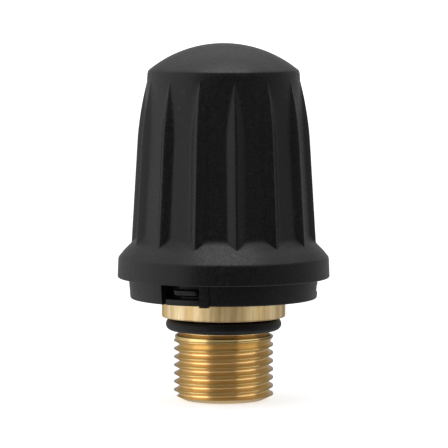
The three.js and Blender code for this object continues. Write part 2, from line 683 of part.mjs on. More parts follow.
function guideBush() {
  return turned([
    [GUIDE_BUSH.innerR, GUIDE_BUSH.bottom],
    [GUIDE_BUSH.flangeR, GUIDE_BUSH.bottom],
    [GUIDE_BUSH.flangeR, GUIDE_BUSH.flangeTop],
    [GUIDE_BUSH.r, GUIDE_BUSH.flangeTop],
    [GUIDE_BUSH.r, GUIDE_BUSH.top],
    [GUIDE_BUSH.innerR, GUIDE_BUSH.top],
  ]);
}

function steamDeflector() {
  const centre = disc(DEFLECTOR.r, DEFLECTOR.bottom, DEFLECTOR.top);
  const ears = ringOf(SCREWS_PER_RING, DEFLECTOR.circleR, 0,
    () => disc(DEFLECTOR.earR, DEFLECTOR.bottom, DEFLECTOR.top, BOSS_SIDES));
  const holes = ringOf(SCREWS_PER_RING, DEFLECTOR.circleR, 0,
    () => hole(DEFLECTOR_SCREW.shankR + SCREW_CLEARANCE, DEFLECTOR.bottom, DEFLECTOR.top));
  return centre.add(ears).subtract(holes);
}

// ---------------------------------------------------------------- screws

function crownScrew() {
  const head = CROWN.bottom + RUNNING_GAP;
  return turned([
    [0, head],
    [CROWN_SCREW.headR, head],
    [CROWN_SCREW.shankR, head + CROWN_SCREW.headHeight],
    [CROWN_SCREW.shankR, CROWN_SCREW.top],
    [0, CROWN_SCREW.top],
  ], HOLE_SIDES);
}

function coreScrew() {
  const head = CORE.webBottom - RUNNING_GAP;
  return turned([
    [0, head - CORE_SCREW.headHeight],
    [CORE_SCREW.headR, head - CORE_SCREW.headHeight],
    [CORE_SCREW.headR, head],
    [CORE_SCREW.shankR, head],
    [CORE_SCREW.shankR, CORE_SCREW.top],
    [0, CORE_SCREW.top],
  ], HOLE_SIDES);
}

function deflectorScrew() {
  const head = DEFLECTOR.top + RUNNING_GAP;
  return turned([
    [0, DEFLECTOR_SCREW.bottom],
    [DEFLECTOR_SCREW.shankR, DEFLECTOR_SCREW.bottom],
    [DEFLECTOR_SCREW.shankR, head],
    [DEFLECTOR_SCREW.headR, head],
    [DEFLECTOR_SCREW.headR, head + DEFLECTOR_SCREW.headHeight],
    [0, head + DEFLECTOR_SCREW.headHeight],
  ], HOLE_SIDES);
}

// ---------------------------------------------------------------- materials and assembly

const blackPlastic = { color: 0x1b1b1c, roughness: 0.55, metalness: 0 };
const greyPlastic = { color: 0x3a3b3d, roughness: 0.6, metalness: 0 };
const brass = { color: 0xb98a45, roughness: 0.3, metalness: 1 };
const steel = { color: 0xa9adb2, roughness: 0.35, metalness: 1 };
const rubber = { color: 0x141414, roughness: 0.8, metalness: 0 };
const slidePlastic = { color: 0xe8e4d8, roughness: 0.5, metalness: 0 };

const pieces = [
  ['grip_cap', gripCap, blackPlastic],
  ['retaining_ring', retainingRing, blackPlastic],
  ['grip_core', gripCore, greyPlastic],
  ['drive_crown', driveCrown, steel],
  ['guide_bush', guideBush, slidePlastic],
  ['steam_deflector', steamDeflector, steel],
  ['lower_thrust_washer', () => washerFrom(LOWER_WASHER), slidePlastic],
  ['upper_thrust_washer', () => washerFrom(UPPER_WASHER), slidePlastic],
  ['spring_plate', springPlate, steel],
  ['grip_spring', () => coilSpring(GRIP_SPRING), steel],
  ['spring_seat', () => washerFrom(SPRING_SEAT), steel],
  ['closure_body', closureBody, brass],
  ['seal_o_ring', sealRing, rubber],
  ['relief_poppet', reliefPoppet, brass],
  ['poppet_seal', () => disc(POPPET.sealR, SEAT.top + SEAT.gap, POPPET.sealTop), rubber],
  ['relief_spring', () => coilSpring(RELIEF_SPRING), steel],
  ['relief_adjuster', reliefAdjuster, brass],
  ['adjuster_lock_nut', lockNut, brass],
  ['inlet_strainer', inletStrainer, steel],
  ['strainer_clip', strainerClip, steel],
];

function washerFrom({ innerR, r, bottom, top }) {
  return washer(innerR, r, bottom, top);
}

// Rings of three equal screws: name, outline, radius of the ring and angle of the first screw.
const screwRings = [
  ['crown_screw', crownScrew, CROWN_SCREW.circleR, 0],
  ['core_screw', coreScrew, CORE_SCREW.circleR, CORE_SCREW.firstAngle],
  ['deflector_screw', deflectorScrew, DEFLECTOR.circleR, 0],
];

function placedMesh(name, solid, look) {
  const mesh = new THREE.Mesh(toGeometry(solid), new THREE.MeshStandardMaterial(look));
  mesh.name = name;
  return mesh;
}

const ventCap = new THREE.Group();
for (const [name, make, look] of pieces) {
  ventCap.add(placedMesh(name, make(), look));
}
for (const [name, make, circleR, firstAngle] of screwRings) {
  for (let i = 0; i < SCREWS_PER_RING; i += 1) {
    const screw = placedMesh(`${name}_${i + 1}`, make(), steel);
    const angle = firstAngle + (i * FULL_TURN) / SCREWS_PER_RING;
    screw.position.set(circleR * Math.cos(angle), circleR * Math.sin(angle), 0);
    ventCap.add(screw);
  }
}

export default ventCap;
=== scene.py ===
"""Looks of the boiler vent cap: fluted grip, snapped-on ring, turned brass closure and the works inside."""

import math

import bmesh
import bpy
from mathutils import Matrix, Vector


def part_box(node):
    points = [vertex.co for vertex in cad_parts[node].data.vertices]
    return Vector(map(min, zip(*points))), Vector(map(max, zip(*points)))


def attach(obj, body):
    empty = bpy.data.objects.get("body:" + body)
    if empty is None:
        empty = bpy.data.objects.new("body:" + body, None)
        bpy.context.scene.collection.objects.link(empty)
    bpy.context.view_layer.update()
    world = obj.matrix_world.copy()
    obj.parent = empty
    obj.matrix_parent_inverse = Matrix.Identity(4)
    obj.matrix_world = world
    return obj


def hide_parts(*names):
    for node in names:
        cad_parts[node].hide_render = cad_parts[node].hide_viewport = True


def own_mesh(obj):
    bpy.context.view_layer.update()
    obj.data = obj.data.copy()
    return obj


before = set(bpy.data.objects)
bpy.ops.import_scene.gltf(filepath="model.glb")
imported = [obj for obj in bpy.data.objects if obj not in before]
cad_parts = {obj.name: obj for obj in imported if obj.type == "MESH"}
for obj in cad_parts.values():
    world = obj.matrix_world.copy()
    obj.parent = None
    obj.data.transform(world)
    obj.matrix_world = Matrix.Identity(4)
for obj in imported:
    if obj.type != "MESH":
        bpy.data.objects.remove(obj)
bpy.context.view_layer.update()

MM = 0.001
FULL_TURN = 2 * math.pi
MERGE_DISTANCE = 2e-7
SHORTEST_EDGE = 1e-8

# ---------------- driving dimensions, in millimetres

# Spigot and its thread. A thread form's widths are in pitches, on either side of the crest's middle.
THREAD_CREST_R = 12.0
THREAD_ROOT_R = 10.72
THREAD_PITCH = 2.0
THREAD_TOP = 16.2
THREAD_CREST_AT_X = 15.3
THREAD_CREST_HALF = 0.075
THREAD_FOOT = 0.42
THREAD_FADE = (13.2, 15.0)
THREAD_FADE_DEPTH = 0.8
THREAD_COLUMNS = 160
SPIGOT_END_R = 9.6
SPIGOT_CHAMFER_SLOPE = 2.1
SPIGOT_EDGE = 0.15
PAST_CREST = 0.3
RUN_OUT_HEIGHT = 0.9
ROD_END_CUT = 0.1

# Collar, flange and tube of the closure
NECK_R, NECK_BOTTOM, NECK_TOP = 10.4, 14.2, 16.0
SEAL_SHAFT_R, SEAL_SHAFT_BOTTOM = 10.9, 16.4
COLLAR_R, COLLAR_BOTTOM = 14.95, 20.1
FLANGE_R, FLANGE_BOTTOM, FLANGE_TOP = 18.0, 27.2, 30.2
TUBE_R, TUBE_TOP = 9.5, 53.0
# Plan of what is cut off the tube on its +X side, as (x, y), and the lowest height of the flats
TUBE_FLAT_CUT = [(8.7, -15), (13, -15), (13, 15), (8.7, 15)]
TUBE_FLAT_BOTTOM = 33.0
# Up to these heights the closure has the thread's look and then the collar's; above, it is painted dark as
# painted shade for the recess behind the ring's windows
BRASS_LOOK_TOP, COLLAR_LOOK_TOP = 17.0, 27.1

# What is bored out of the closure
SPIGOT_BORE_R, SPIGOT_BORE_TOP, SPIGOT_BORE_CHAMFER = 7.5, 10.9, 0.5
CLIP_GROOVE_R, CLIP_GROOVE_BOTTOM, CLIP_GROOVE_TOP = 8.05, 8.9, 9.9
INLET_R, INLET_TOP = 6.0, 13.0
SEAT_HOLE_R = 2.8
SEAT_LIP_R, SEAT_LIP_TOP = 3.8, 15.8
CHAMBER_R, CHAMBER_FLOOR, CHAMBER_TOP = 6.4, 15.2, 52.7
CHAMBER_CHAMFER = 0.6
BORE_END = 54.0

# O-ring: the middle of its section, and half the section's width and height
SEAL_MEAN_R, SEAL_MIDDLE_Z = 12.49, 18.3
SEAL_HALF_WIDTH, SEAL_HALF_HEIGHT = 1.48, 1.47

# Ribs and fluted wall of the grip. Its cone is forty-five degrees, and pairs are (radius, height).
RIB_COUNT = 14
RIB_FIRST_ANGLE = math.radians(-81.8)
RIB_SLOPE = 0.85
RIB_HEIGHT = 1.52
RIB_RUN_OUT_FROM = 62.0
RIB_CROWN = 0.3
RIB_FILLET = 0.34
RIB_FOOT_SPREAD = 0.5
CONE_FILLET = 0.9
FACET_SINK = 0.06
FACET_FADE = (70.0, 77.0)
FACET_RISE = 2.0
GROOVE_LOW = (20.7, 39.5)
GROOVE_HIGH = (18.43, 77.0)
CONE_TOP = (22.3, 37.9)
# Heights of the wall's rows, closer together where its shape changes quickly
ROWS_AT_CONE = [36.2, 36.7, 37.1, 37.4, 37.7, 38.0, 38.3, 38.6, 38.9, 39.2, 39.5, 39.9, 40.4, 41.2]
ROWS_OF_FLUTES = [42.5 + 1.5 * k for k in range(17)]
ROWS_AT_RUN_OUT = [67.6, 68.8, 69.8, 70.8, 71.7, 72.5, 73.3, 74.0, 74.6,
                   75.2, 75.7, 76.2, 76.6, 77.0, 77.6, 78.3, 78.8]

# Skirt and dome
SHOULDER_R, SHOULDER_TOP, SHOULDER_EDGE_Z = 25.4, 36.15, 34.55
SHOULDER_INSET = 1.6
SKIRT_EDGE_R, SKIRT_BOTTOM = 25.6, 29.6
DOME_EDGE = (18.18, 79.4)
DOME_APEX = 86.0
DOME_ROWS = 25
# The small lip under the dome's edge, as (radius, height) from the edge
DOME_LIP = [(0.02, -0.30), (0.015, -0.18), (-0.03, -0.06)]

# Inside of the grip: cavity, snap sleeve with its slits and pockets, and the ring's channel
CAVITY_CROWN = [(1e-5, 83.5, 0.0), (8.0, 82.4, 4.0), (14.3, 78.6, 3.0), (15.9, 76.0, 2.0)]
CAVITY_R, CAVITY_TOP = 18.6, 39.5
SLEEVE_R, SLEEVE_BOTTOM = 20.4, 26.9
CHANNEL_R, CHANNEL_TOP = 23.2, 33.0
SLIT_BOTTOM, SLIT_TOP = 26.0, 32.0
POCKET_BOTTOM, POCKET_TOP, POCKET_FLOOR = 28.3, 31.6, 0.7
POCKET_MARGIN = 0.5
# How far the cutters go past the sleeve's outside and inside
PAST_WALL, PAST_BORE = 0.3, 0.5

# Retaining ring. Angles are in degrees from the front, towards +X.
RING_BOTTOM, RING_TOP = 24.6, 32.6
RING_LOW_R, RING_HIGH_R = 22.5, 22.9
RING_WALL_R, RING_BORE_R = 20.6, 15.3
RING_LIP_TOP = 26.4
WINDOW_COUNT = 3
WINDOW_FROM, WINDOW_TO, WINDOW_SLOT_TO = -40.3, -14.4, -37.0
WINDOW_BOTTOM, WINDOW_TOP, SLOT_TOP = 26.0, 29.6, 28.0
WINDOW_INNER_R = 18.4
POST_FROM, POST_TO = -14.4, -8.8
POST_OUTER_R, POST_ROOTING = 23.1, 1.2
POST_BOTTOM, POST_TOP_GAP = 24.35, 0.15
HOOK_FROM, HOOK_TO = -32.0, -16.0
HOOK_ROOT_R, HOOK_TOE_R, HOOK_HEEL_R = 19.2, 22.3, 22.85
HOOK_BOTTOM, HOOK_TOP = 27.0, 28.3
# A hook's ends draw in over this share of its length, beyond the radius where it stands free
HOOK_DRAW_IN, HOOK_END_SHARE, HOOK_FREE_R = 0.5, 0.12, 21.0
SLIT_FROM, SLIT_TO = -41.5, -13.6

# Dog clutch: teeth on the flange and teeth on the crown
DOG_COUNT, DOG_HALF_WIDTH = 12, math.radians(6)
DOG_INNER_R, DOG_OUTER_R = 12.9, 17.6
FLANGE_TEETH = (29.8, 33.2)
CROWN_TEETH = (33.7, 37.0)

# Works inside the grip. A band is (inner radius, outer radius, bottom, top), a rod is (radius, bottom,
# top), a bar is (x, y, width, depth, bottom, top) and a profile has (radius, height) points.
SCREW_RING = 3
CROWN_SCREW_CIRCLE, CORE_SCREW_CIRCLE, DEFLECTOR_CIRCLE = 15.2, 14.9, 12.4
CORE_SCREW_ANGLE = math.radians(60)
KEY_ANGLE = math.radians(30)
CROWN_BAND = (12.8, 18.2, 36.6, 39.4)
CROWN_SINK = [(0, 36.0), (2.5, 36.0), (2.5, 36.6), (1.4, 37.8), (1.4, 40.0), (0, 40.0)]
CORE_PROFILE = [(11.5, 48.2), (12.7, 48.2), (12.7, 50.0), (17.2, 50.0), (17.2, 52.4), (11.5, 52.4)]
CORE_BOSS, CORE_BOSS_PILOT = (2.3, 39.5, 50.5), (1.3, 38.0, 47.0)
CORE_POST, CORE_POST_PILOT = (1.5, 52.3, 59.9), (0.9, 54.0, 61.0)
CORE_SCREW_HOLE = (1.2, 49.0, 53.0)
STEAM_HOLE, STEAM_HOLE_COUNT, STEAM_HOLE_CIRCLE = (1.6, 49.0, 53.0), 6, 15.0
KEY_NOTCH, KEY = (19.1, 0, 6, 3.6, 49.0, 53.5), (17.3, 0, 1.8, 3.0, 44.0, 58.0)
CAP_BOSS, CAP_BOSS_PILOT = (2.3, 52.6, 66.0), (1.1, 52.0, 60.0)
DEFLECTOR, DEFLECTOR_LOBE, DEFLECTOR_HOLE = (10.8, 60.0, 60.8), (2.0, 60.0, 60.8), (1.0, 59.0, 62.0)
LOWER_WASHER = (15.3, 18.0, 26.5, 27.1)
UPPER_WASHER = (9.7, 12.4, 46.5, 47.2)
SPRING_SEAT = (9.7, 12.4, 30.3, 31.0)
BUSH_PROFILE = [(9.6, 47.3), (12.8, 47.3), (12.8, 48.1), (11.4, 48.1), (11.4, 52.2), (9.6, 52.2)]
POPPET_PROFILE = [(0, 17.1), (4.5, 17.1), (4.5, 16.1), (5.4, 16.1), (5.4, 19.6), (1.5, 19.6), (1.5, 52.0),
                  (0, 52.0)]
POPPET_SEAL_R = 4.4
SPRING_PLATE, SPRING_PLATE_BORE = (12.4, 45.4, 46.4), (9.6, 45.0, 47.0)
# The plate's flats, and the rest of the bar that leaves each of them, from its y on
PLATE_FLAT_X, PLATE_FLAT_BAR = 8.8, (0, 4, 30, 44.0, 48.0)
ADJUSTER_PROFILE = [(1.75, 42.0), (6.25, 42.0, 0.4), (6.25, 56.6, 0.5), (1.75, 56.6)]
ADJUSTER_SLOT = (0, 0, 20, 1.6, 54.6, 58.0)
VENT_HOLE, VENT_HOLE_COUNT, VENT_HOLE_CIRCLE = (1.0, 41.0, 58.0), 4, 4.5
VENT_HOLE_ANGLE = math.radians(45)
NUT_ACROSS_FLATS, NUT_BOTTOM, NUT_TOP = 16, 53.2, 56.0
NUT_FACE_R, NUT_BEVEL_HEIGHT = 8.4, 0.6
NUT_BORE = (6.35, 52.0, 57.0)
STRAINER, STRAINER_HOLE = (7.3, 10.0, 10.7), (0.7, 9.0, 12.0)
STRAINER_PITCH, STRAINER_HOLES_WITHIN = 2.3, 5.5
# A coil is (mean radius, wire radius, bottom, top, turns)
GRIP_SPRING = (11.05, 0.6, 31.2, 45.2, 5)
RELIEF_SPRING = (3.9, 0.6, 19.8, 41.8, 7)
CLIP_MEAN_R, CLIP_WIRE_R, CLIP_Z, CLIP_GAP = 7.45, 0.45, 9.4, 0.45
RECESS_SIZE = (2.0, 0.5)
# A screw is its name, the circle and first angle of its ring, the heights of the cross recess, the
# profile below the thread, the thread as (radius, from, to, pitch), and the profile above it
SCREWS = [
    ("crown_screw", CROWN_SCREW_CIRCLE, 0.0, (36.0, 37.4),
     [(0, 36.7), (2.3, 36.7), (1.2, 37.9)], (1.2, 38.3, 45.2, 0.5), [(0.5, 46.0), (0, 46.0)]),
    ("core_screw", CORE_SCREW_CIRCLE, CORE_SCREW_ANGLE, (47.8, 49.2),
     [(0, 48.4), (1.3, 48.4), (1.9, 49.0), (1.9, 49.9), (1.0, 49.9)], (1.0, 52.5, 58.4, 0.45),
     [(0.4, 59.0), (0, 59.0)]),
    ("deflector_screw", DEFLECTOR_CIRCLE, 0.0, (61.5, 63.0),
     [(0, 55.0), (0.3, 55.0)], (0.8, 55.4, 59.8, 0.4),
     [(0.8, 60.9), (1.9, 60.9), (1.9, 61.7), (1.3, 62.2), (0, 62.2)]),
]

# ---------------- mesh helpers


def finish_mesh(name, vertices, faces, body=None, replaced=(), sharp_degrees=32.0):
    """A smooth-shaded mesh, in metres from points in millimetres, that rides on a body if one is named."""
    mesh = bpy.data.meshes.new(name)
    mesh.from_pydata([[c * MM for c in v] for v in vertices], [], faces)
    work = bmesh.new()
    work.from_mesh(mesh)
    bmesh.ops.remove_doubles(work, verts=work.verts, dist=MERGE_DISTANCE)
    bmesh.ops.dissolve_degenerate(work, edges=work.edges, dist=SHORTEST_EDGE)
    bmesh.ops.recalc_face_normals(work, faces=work.faces)
    work.to_mesh(mesh)
    work.free()
    piece = bpy.data.objects.new(name, mesh)
    bpy.context.scene.collection.objects.link(piece)
    shade(piece, sharp_degrees)
    if body:
        settle(piece, body, replaced)
    return piece


def shade(piece, sharp_degrees):
    piece.data.shade_smooth()
    piece.data.set_sharp_from_angle(angle=math.radians(sharp_degrees))


def settle(piece, body, replaced=()):
    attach(piece, body)
    if replaced:
        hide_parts(*replaced)


def circle_point(r, angle, z):
    return (r * math.cos(angle), r * math.sin(angle), z)


def ring_faces(rows, columns, closed):
    """Quads between neighbouring rings of a grid, and from the last ring to the first if it is closed."""
    faces = []
    for row in range(rows if closed else rows - 1):
        low, high = row * columns, ((row + 1) % rows) * columns
        for i in range(columns):
            j = (i + 1) % columns
            faces.append((low + i, low + j, high + j, high + i))
    return faces


def rounded(profile, radius, steps=4):
    """A closed (r, z) profile with its corners rounded. A point's third value is its own radius."""
    result = []
    count = len(profile)
    for i, point in enumerate(profile):
        here = Vector(point[:2])
        before = Vector(profile[i - 1][:2]) - here
        after = Vector(profile[(i + 1) % count][:2]) - here
        wanted = point[2] if len(point) > 2 else radius
        turn = math.pi - before.angle(after)
        if point[0] == 0 or wanted <= 0 or turn < math.radians(4):
            result.append(tuple(here))
            continue
        reach = min(wanted * math.tan(turn / 2), 0.45 * before.length, 0.45 * after.length)
        start, end = here + before.normalized() * reach, here + after.normalized() * reach
        for k in range(steps + 1):
            t = k / steps
            result.append(tuple(start * (1 - t) ** 2 + here * 2 * t * (1 - t) + end * t ** 2))
    return result


def turned_mesh(profile, columns):
    """Points and faces of a solid turned about Z. The profile is closed, or starts and ends on the axis."""
    on_axis = [i for i, p in enumerate(profile) if p[0] == 0]
    closed = not on_axis
    if on_axis:
        while profile[0][0] != 0 or profile[-1][0] != 0:
            profile = profile[1:] + profile[:1]
    vertices = []
    for r, z in profile:
        vertices += [circle_point(r, FULL_TURN * i / columns, z) for i in range(columns)]
    return vertices, ring_faces(len(profile), columns, closed)


def turned(name, profile, body=None, replaced=(), radius=0.12, columns=128):
    vertices, faces = turned_mesh(rounded(profile, radius), columns)
    return finish_mesh(name, vertices, faces, body, replaced)


def prism(name, outline, bottom, top):
    """Upright prism over an (x, y) outline, used as a cutter or an added block."""
    count = len(outline)
    vertices = [(x, y, bottom) for x, y in outline] + [(x, y, top) for x, y in outline]
    faces = [tuple(reversed(range(count))), tuple(range(count, 2 * count))]
    faces += [(i, (i + 1) % count, count + (i + 1) % count, count + i) for i in range(count)]
    return finish_mesh(name, vertices, faces)


def sector_outline(low_r, high_r, from_angle, to_angle, steps):
    """Plan of a ring sector, as (x, y) points: out along the larger radius and back along the smaller."""
    outer = [from_angle + (to_angle - from_angle) * k / steps for k in range(steps + 1)]
    outline = [(high_r * math.cos(a), high_r * math.sin(a)) for a in outer]
    return outline + [(low_r * math.cos(a), low_r * math.sin(a)) for a in reversed(outer)]


def circle_outline(r, steps):
    return [(r * math.cos(a), r * math.sin(a)) for a in around(steps)]


def from_front(degrees):
    """Angle from +X of a place given in degrees from the front, towards +X."""
    return math.radians(degrees - 90)


def gathered(pieces):
    """Several separate solids as one object, so that they are combined in one go."""
    first = pieces[0]
    work = bmesh.new()
    for piece in pieces:
        work.from_mesh(piece.data)
    work.to_mesh(first.data)
    work.free()
    for piece in pieces[1:]:
        bpy.data.objects.remove(piece)
    return first


def combine(piece, others, operation):
    """Exact boolean of piece with solids that don't touch each other, which are then removed."""
    other = gathered(others)
    modifier = piece.modifiers.new(operation.lower(), "BOOLEAN")
    modifier.operation = operation
    modifier.solver = "EXACT"
    modifier.object = other
    bpy.context.view_layer.update()
    evaluated = piece.evaluated_get(bpy.context.evaluated_depsgraph_get())
    mesh = bpy.data.meshes.new_from_object(evaluated)
    piece.modifiers.clear()
    piece.data = mesh
    bpy.data.objects.remove(other)


def cut(piece, others):
    combine(piece, others, "DIFFERENCE")


def join(piece, others):
    combine(piece, others, "UNION")


def solid(profile, radius=0.0, columns=96):
    return turned("solid", profile, radius=radius, columns=columns)


def band(inner_r, outer_r, bottom, top):
    """Profile of a plain turned ring, or of a disc if the inner radius is 0."""
    return [(inner_r, bottom), (outer_r, bottom), (outer_r, top), (inner_r, top)]


def cylinder(r, bottom, top, columns=32):
    return solid(band(0, r, bottom, top), columns=columns)


def block(x, y, width, depth, bottom, top, angle=0.0):
    """Upright block centred on (x, y), then turned about Z."""
    corners = [(x - width / 2, y - depth / 2), (x + width / 2, y - depth / 2),
               (x + width / 2, y + depth / 2), (x - width / 2, y + depth / 2)]
    cos, sin = math.cos(angle), math.sin(angle)
    return prism("block", [(a * cos - b * sin, a * sin + b * cos) for a, b in corners], bottom, top)


def shifted(piece, circle_r, angle):
    offset = Vector((circle_r * math.cos(angle), circle_r * math.sin(angle), 0)) * MM
    piece.data.transform(Matrix.Translation(offset))
    return piece


def ring_of(count, circle_r, first_angle, make):
    return [shifted(make(), circle_r, angle) for angle in around(count, first_angle)]


def bevel(piece, width):
    modifier = piece.modifiers.new("edge", "BEVEL")
    modifier.width = width * MM
    modifier.segments = 2
    modifier.limit_method = "ANGLE"
    modifier.angle_limit = math.radians(35.0)
    modifier.use_clamp_overlap = True
    modifier.harden_normals = False


def around(count, first_angle=0.0):
    """Evenly spaced angles over a full turn."""
    return [first_angle + FULL_TURN * k / count for k in range(count)]


# ---------------- material helpers


class Nodes:
    """Small wrapper round a material's node tree, with the object's own coordinates ready."""

    def __init__(self, name):
        self.material = bpy.data.materials.new(name)
        self.material.use_nodes = True
        self.tree = self.material.node_tree
        self.shader = self.tree.nodes["Principled BSDF"]
        self.coordinates = self.tree.nodes.new("ShaderNodeTexCoord").outputs["Object"]

    def link(self, source, target):
        self.tree.links.new(source, target)

    def feed(self, socket, value):
        """Link an output to a socket, or set the socket to a number or a colour."""
        if hasattr(value, "is_output"):
            self.link(value, socket)
        elif hasattr(value, "__len__"):
            socket.default_value = (*value, 1.0)
        else:
            socket.default_value = value

    def mapped(self, scale):
        node = self.tree.nodes.new("ShaderNodeMapping")
        node.inputs["Scale"].default_value = scale
        self.link(self.coordinates, node.inputs["Vector"])
        return node.outputs["Vector"]

    def axis_distance(self):
        """Distance from the cap's upright axis, in metres."""
        node = self.tree.nodes.new("ShaderNodeVectorMath")
        node.operation = "LENGTH"
        self.link(self.mapped((1, 1, 0)), node.inputs[0])
        return node.outputs["Value"]

    def noise(self, scale, detail=2.0, roughness=0.5, vector=None, distortion=0.0):
        node = self.tree.nodes.new("ShaderNodeTexNoise")
        node.inputs["Scale"].default_value = scale
        node.inputs["Detail"].default_value = detail
        node.inputs["Roughness"].default_value = roughness
        node.inputs["Distortion"].default_value = distortion
        self.link(vector or self.coordinates, node.inputs["Vector"])
        return node.outputs["Fac"]

    def ramp(self, source, stops):
        """Colour ramp: stops are (position, colour or grey value)."""
        node = self.tree.nodes.new("ShaderNodeValToRGB")
        elements = node.color_ramp.elements
        while len(elements) < len(stops):
            elements.new(0.5)
        for element, (position, value) in zip(elements, stops):
            element.position = position
            colour = value if hasattr(value, "__len__") else (value, value, value)
            element.color = (*colour, 1.0)
        self.link(source, node.inputs["Fac"])
        return node.outputs["Color"]

    def range(self, source, low, high, from_low=0.0, from_high=1.0):
        """Value from low to high while the source goes from from_low to from_high."""
        node = self.tree.nodes.new("ShaderNodeMapRange")
        values = {"From Min": from_low, "From Max": from_high, "To Min": low, "To Max": high}
        for key, value in values.items():
            node.inputs[key].default_value = value
        self.link(source, node.inputs["Value"])
        return node.outputs["Result"]

    def math(self, operation, first, second):
        node = self.tree.nodes.new("ShaderNodeMath")
        node.operation = operation
        for socket, value in zip(node.inputs, (first, second)):
            self.feed(socket, value)
        return node.outputs["Value"]

    def mix(self, factor, first, second):
        node = self.tree.nodes.new("ShaderNodeMix")
        node.data_type = "RGBA"
        for key, value in (("Factor", factor), ("A", first), ("B", second)):
            self.feed([s for s in node.inputs if s.name == key and s.enabled][0], value)
        return [s for s in node.outputs if s.enabled][0]

    def bump(self, height, strength, distance_mm, normal=None):
        node = self.tree.nodes.new("ShaderNodeBump")
        node.inputs["Strength"].default_value = strength
        node.inputs["Distance"].default_value = distance_mm * MM
        self.link(height, node.inputs["Height"])
        if normal:
            self.link(normal, node.inputs["Normal"])
        return node.outputs["Normal"]

    def brush_round_axis(self, anisotropy):
        """Highlights drawn out as on metal that was turned about Z."""
        node = self.tree.nodes.new("ShaderNodeTangent")
        node.direction_type = "RADIAL"
        node.axis = "Z"
        self.set(Tangent=node.outputs["Tangent"], Anisotropic=anisotropy)

    def set(self, **values):
        """Values or linked outputs for the shader's inputs, with _ for a space in an input's name."""
        for key, value in values.items():
            self.feed(self.shader.inputs[key.replace("_", " ")], value)


def paint(piece, material):
    piece.data.materials.clear()
    piece.data.materials.append(material)


# ---------------- materials


BLACK_TONES = [(0.32, (0.004, 0.004, 0.0041)), (0.68, (0.0062, 0.0062, 0.0064))]
DUST_TONE = (0.018, 0.018, 0.0185)
SCUFF_TONE = (0.03, 0.03, 0.0305)
BRASS_TONES = [(0.3, (0.66, 0.47, 0.19)), (0.7, (0.76, 0.55, 0.24))]
BRASS_STAIN = (0.45, 0.28, 0.12)
# Painted highlight: the bright tone of the thread's roots. Painted shade: the dark tone of its crests.
THREAD_ROOT_HIGHLIGHT_TONE = (0.82, 0.6, 0.29)
THREAD_CREST_SHADE_TONE = (0.34, 0.22, 0.08)
# Distances from the axis over which the root's painted highlight, and then the crest's painted shade, takes
# over, in metres
ROOT_HIGHLIGHT_FADE = (0.0108, 0.0118)
CREST_SHADE_FADE = (0.0118, 0.01195)
DRAWN_TONES = [(0.34, (0.58, 0.4, 0.17)), (0.5, (0.78, 0.6, 0.33)), (0.66, (0.92, 0.78, 0.5))]
DRAWN_BROWN = (0.5, 0.33, 0.14)
# Painted shade: the dark tones of the closure above the collar, which is seen in the recess behind the
# ring's windows
FLANGE_SHADE_TONES = [(0.3, (0.012, 0.009, 0.006)), (0.75, (0.03, 0.022, 0.011))]
RUBBER_TONES = [(0.35, (0.004, 0.004, 0.0045)), (0.75, (0.008, 0.0085, 0.01))]
SLIDE_TONES = [(0.3, (0.72, 0.69, 0.6)), (0.7, (0.8, 0.78, 0.71))]
# Painted shade on the rim of the widest washer, and the distances from the axis over which it takes over,
# in metres
RIM_SHADE_TONE = (0.015, 0.012, 0.008)
SLIDE_RIM_SHADE_FADE = (0.017, 0.0176)
STEEL_SHADOW = 0.8
# The part of a noise's values that a tone or a roughness follows
MIDDLE = (0.3, 0.7)


def black_plastic(name, grain_scale, roughness):
    """Moulded black plastic: spark-eroded grain, flow mottling, and faint scuffs and dust."""
    n = Nodes(name)
    grain = n.noise(grain_scale, detail=3.0, roughness=0.62)
    mottle = n.noise(1700.0, detail=2.0, roughness=0.6)
    clouds = n.noise(90.0, detail=2.0)
    dust = n.noise(2600.0, detail=1.0)
    scuffs = n.noise(520.0, detail=4.0, roughness=0.75, distortion=0.4)
    tone = n.mix(n.range(dust, 0.0, 0.4, 0.6, 0.8), n.ramp(mottle, BLACK_TONES), DUST_TONE)
    n.set(Base_Color=n.mix(n.range(scuffs, 0.0, 0.4, 0.58, 0.76), tone, SCUFF_TONE))
    rough = n.math("ADD", n.range(grain, -0.06, 0.06, *MIDDLE), n.range(clouds, -0.03, 0.03))
    rough = n.math("ADD", rough, n.range(mottle, -0.08, 0.08, *MIDDLE))
    n.set(Roughness=n.math("ADD", rough, roughness), IOR=1.5, Specular_IOR_Level=0.34)
    coarse = n.bump(mottle, 0.5, 0.07, n.bump(clouds, 0.25, 0.05))
    n.set(Normal=n.bump(grain, 0.6, 0.04, coarse))
    return n.material


def turned_brass():
    """Turned brass: fine tool lines round the axis, soft stains, a painted highlight in the thread roots
    and painted shade on the crests.
    """
    n = Nodes("brass_thread")
    lines = n.noise(1.0, detail=4.0, roughness=0.7, vector=n.mapped((60.0, 60.0, 5200.0)))
    patches = n.noise(160.0, detail=3.0, roughness=0.6)
    stains = n.noise(420.0, detail=4.0, roughness=0.7, distortion=0.6)
    stained = n.mix(n.range(stains, 0.0, 0.35, 0.6, 0.8), n.ramp(patches, BRASS_TONES), BRASS_STAIN)
    # Painted highlight makes the roots brighter and painted shade makes the crests darker, chosen by
    # distance from the axis
    flank = n.mix(n.range(n.axis_distance(), 0.0, 1.0, *ROOT_HIGHLIGHT_FADE), THREAD_ROOT_HIGHLIGHT_TONE, stained)
    crest = n.range(n.axis_distance(), 0.0, 0.55, *CREST_SHADE_FADE)
    n.set(Base_Color=n.mix(crest, flank, THREAD_CREST_SHADE_TONE), Metallic=1.0)
    rough = n.math("ADD", n.range(lines, -0.08, 0.08, *MIDDLE), n.range(patches, -0.03, 0.05))
    n.set(Roughness=n.math("ADD", rough, 0.34), Anisotropic_Rotation=0.25)
    n.brush_round_axis(0.8)
    n.set(Normal=n.bump(lines, 0.3, 0.02))
    return n.material


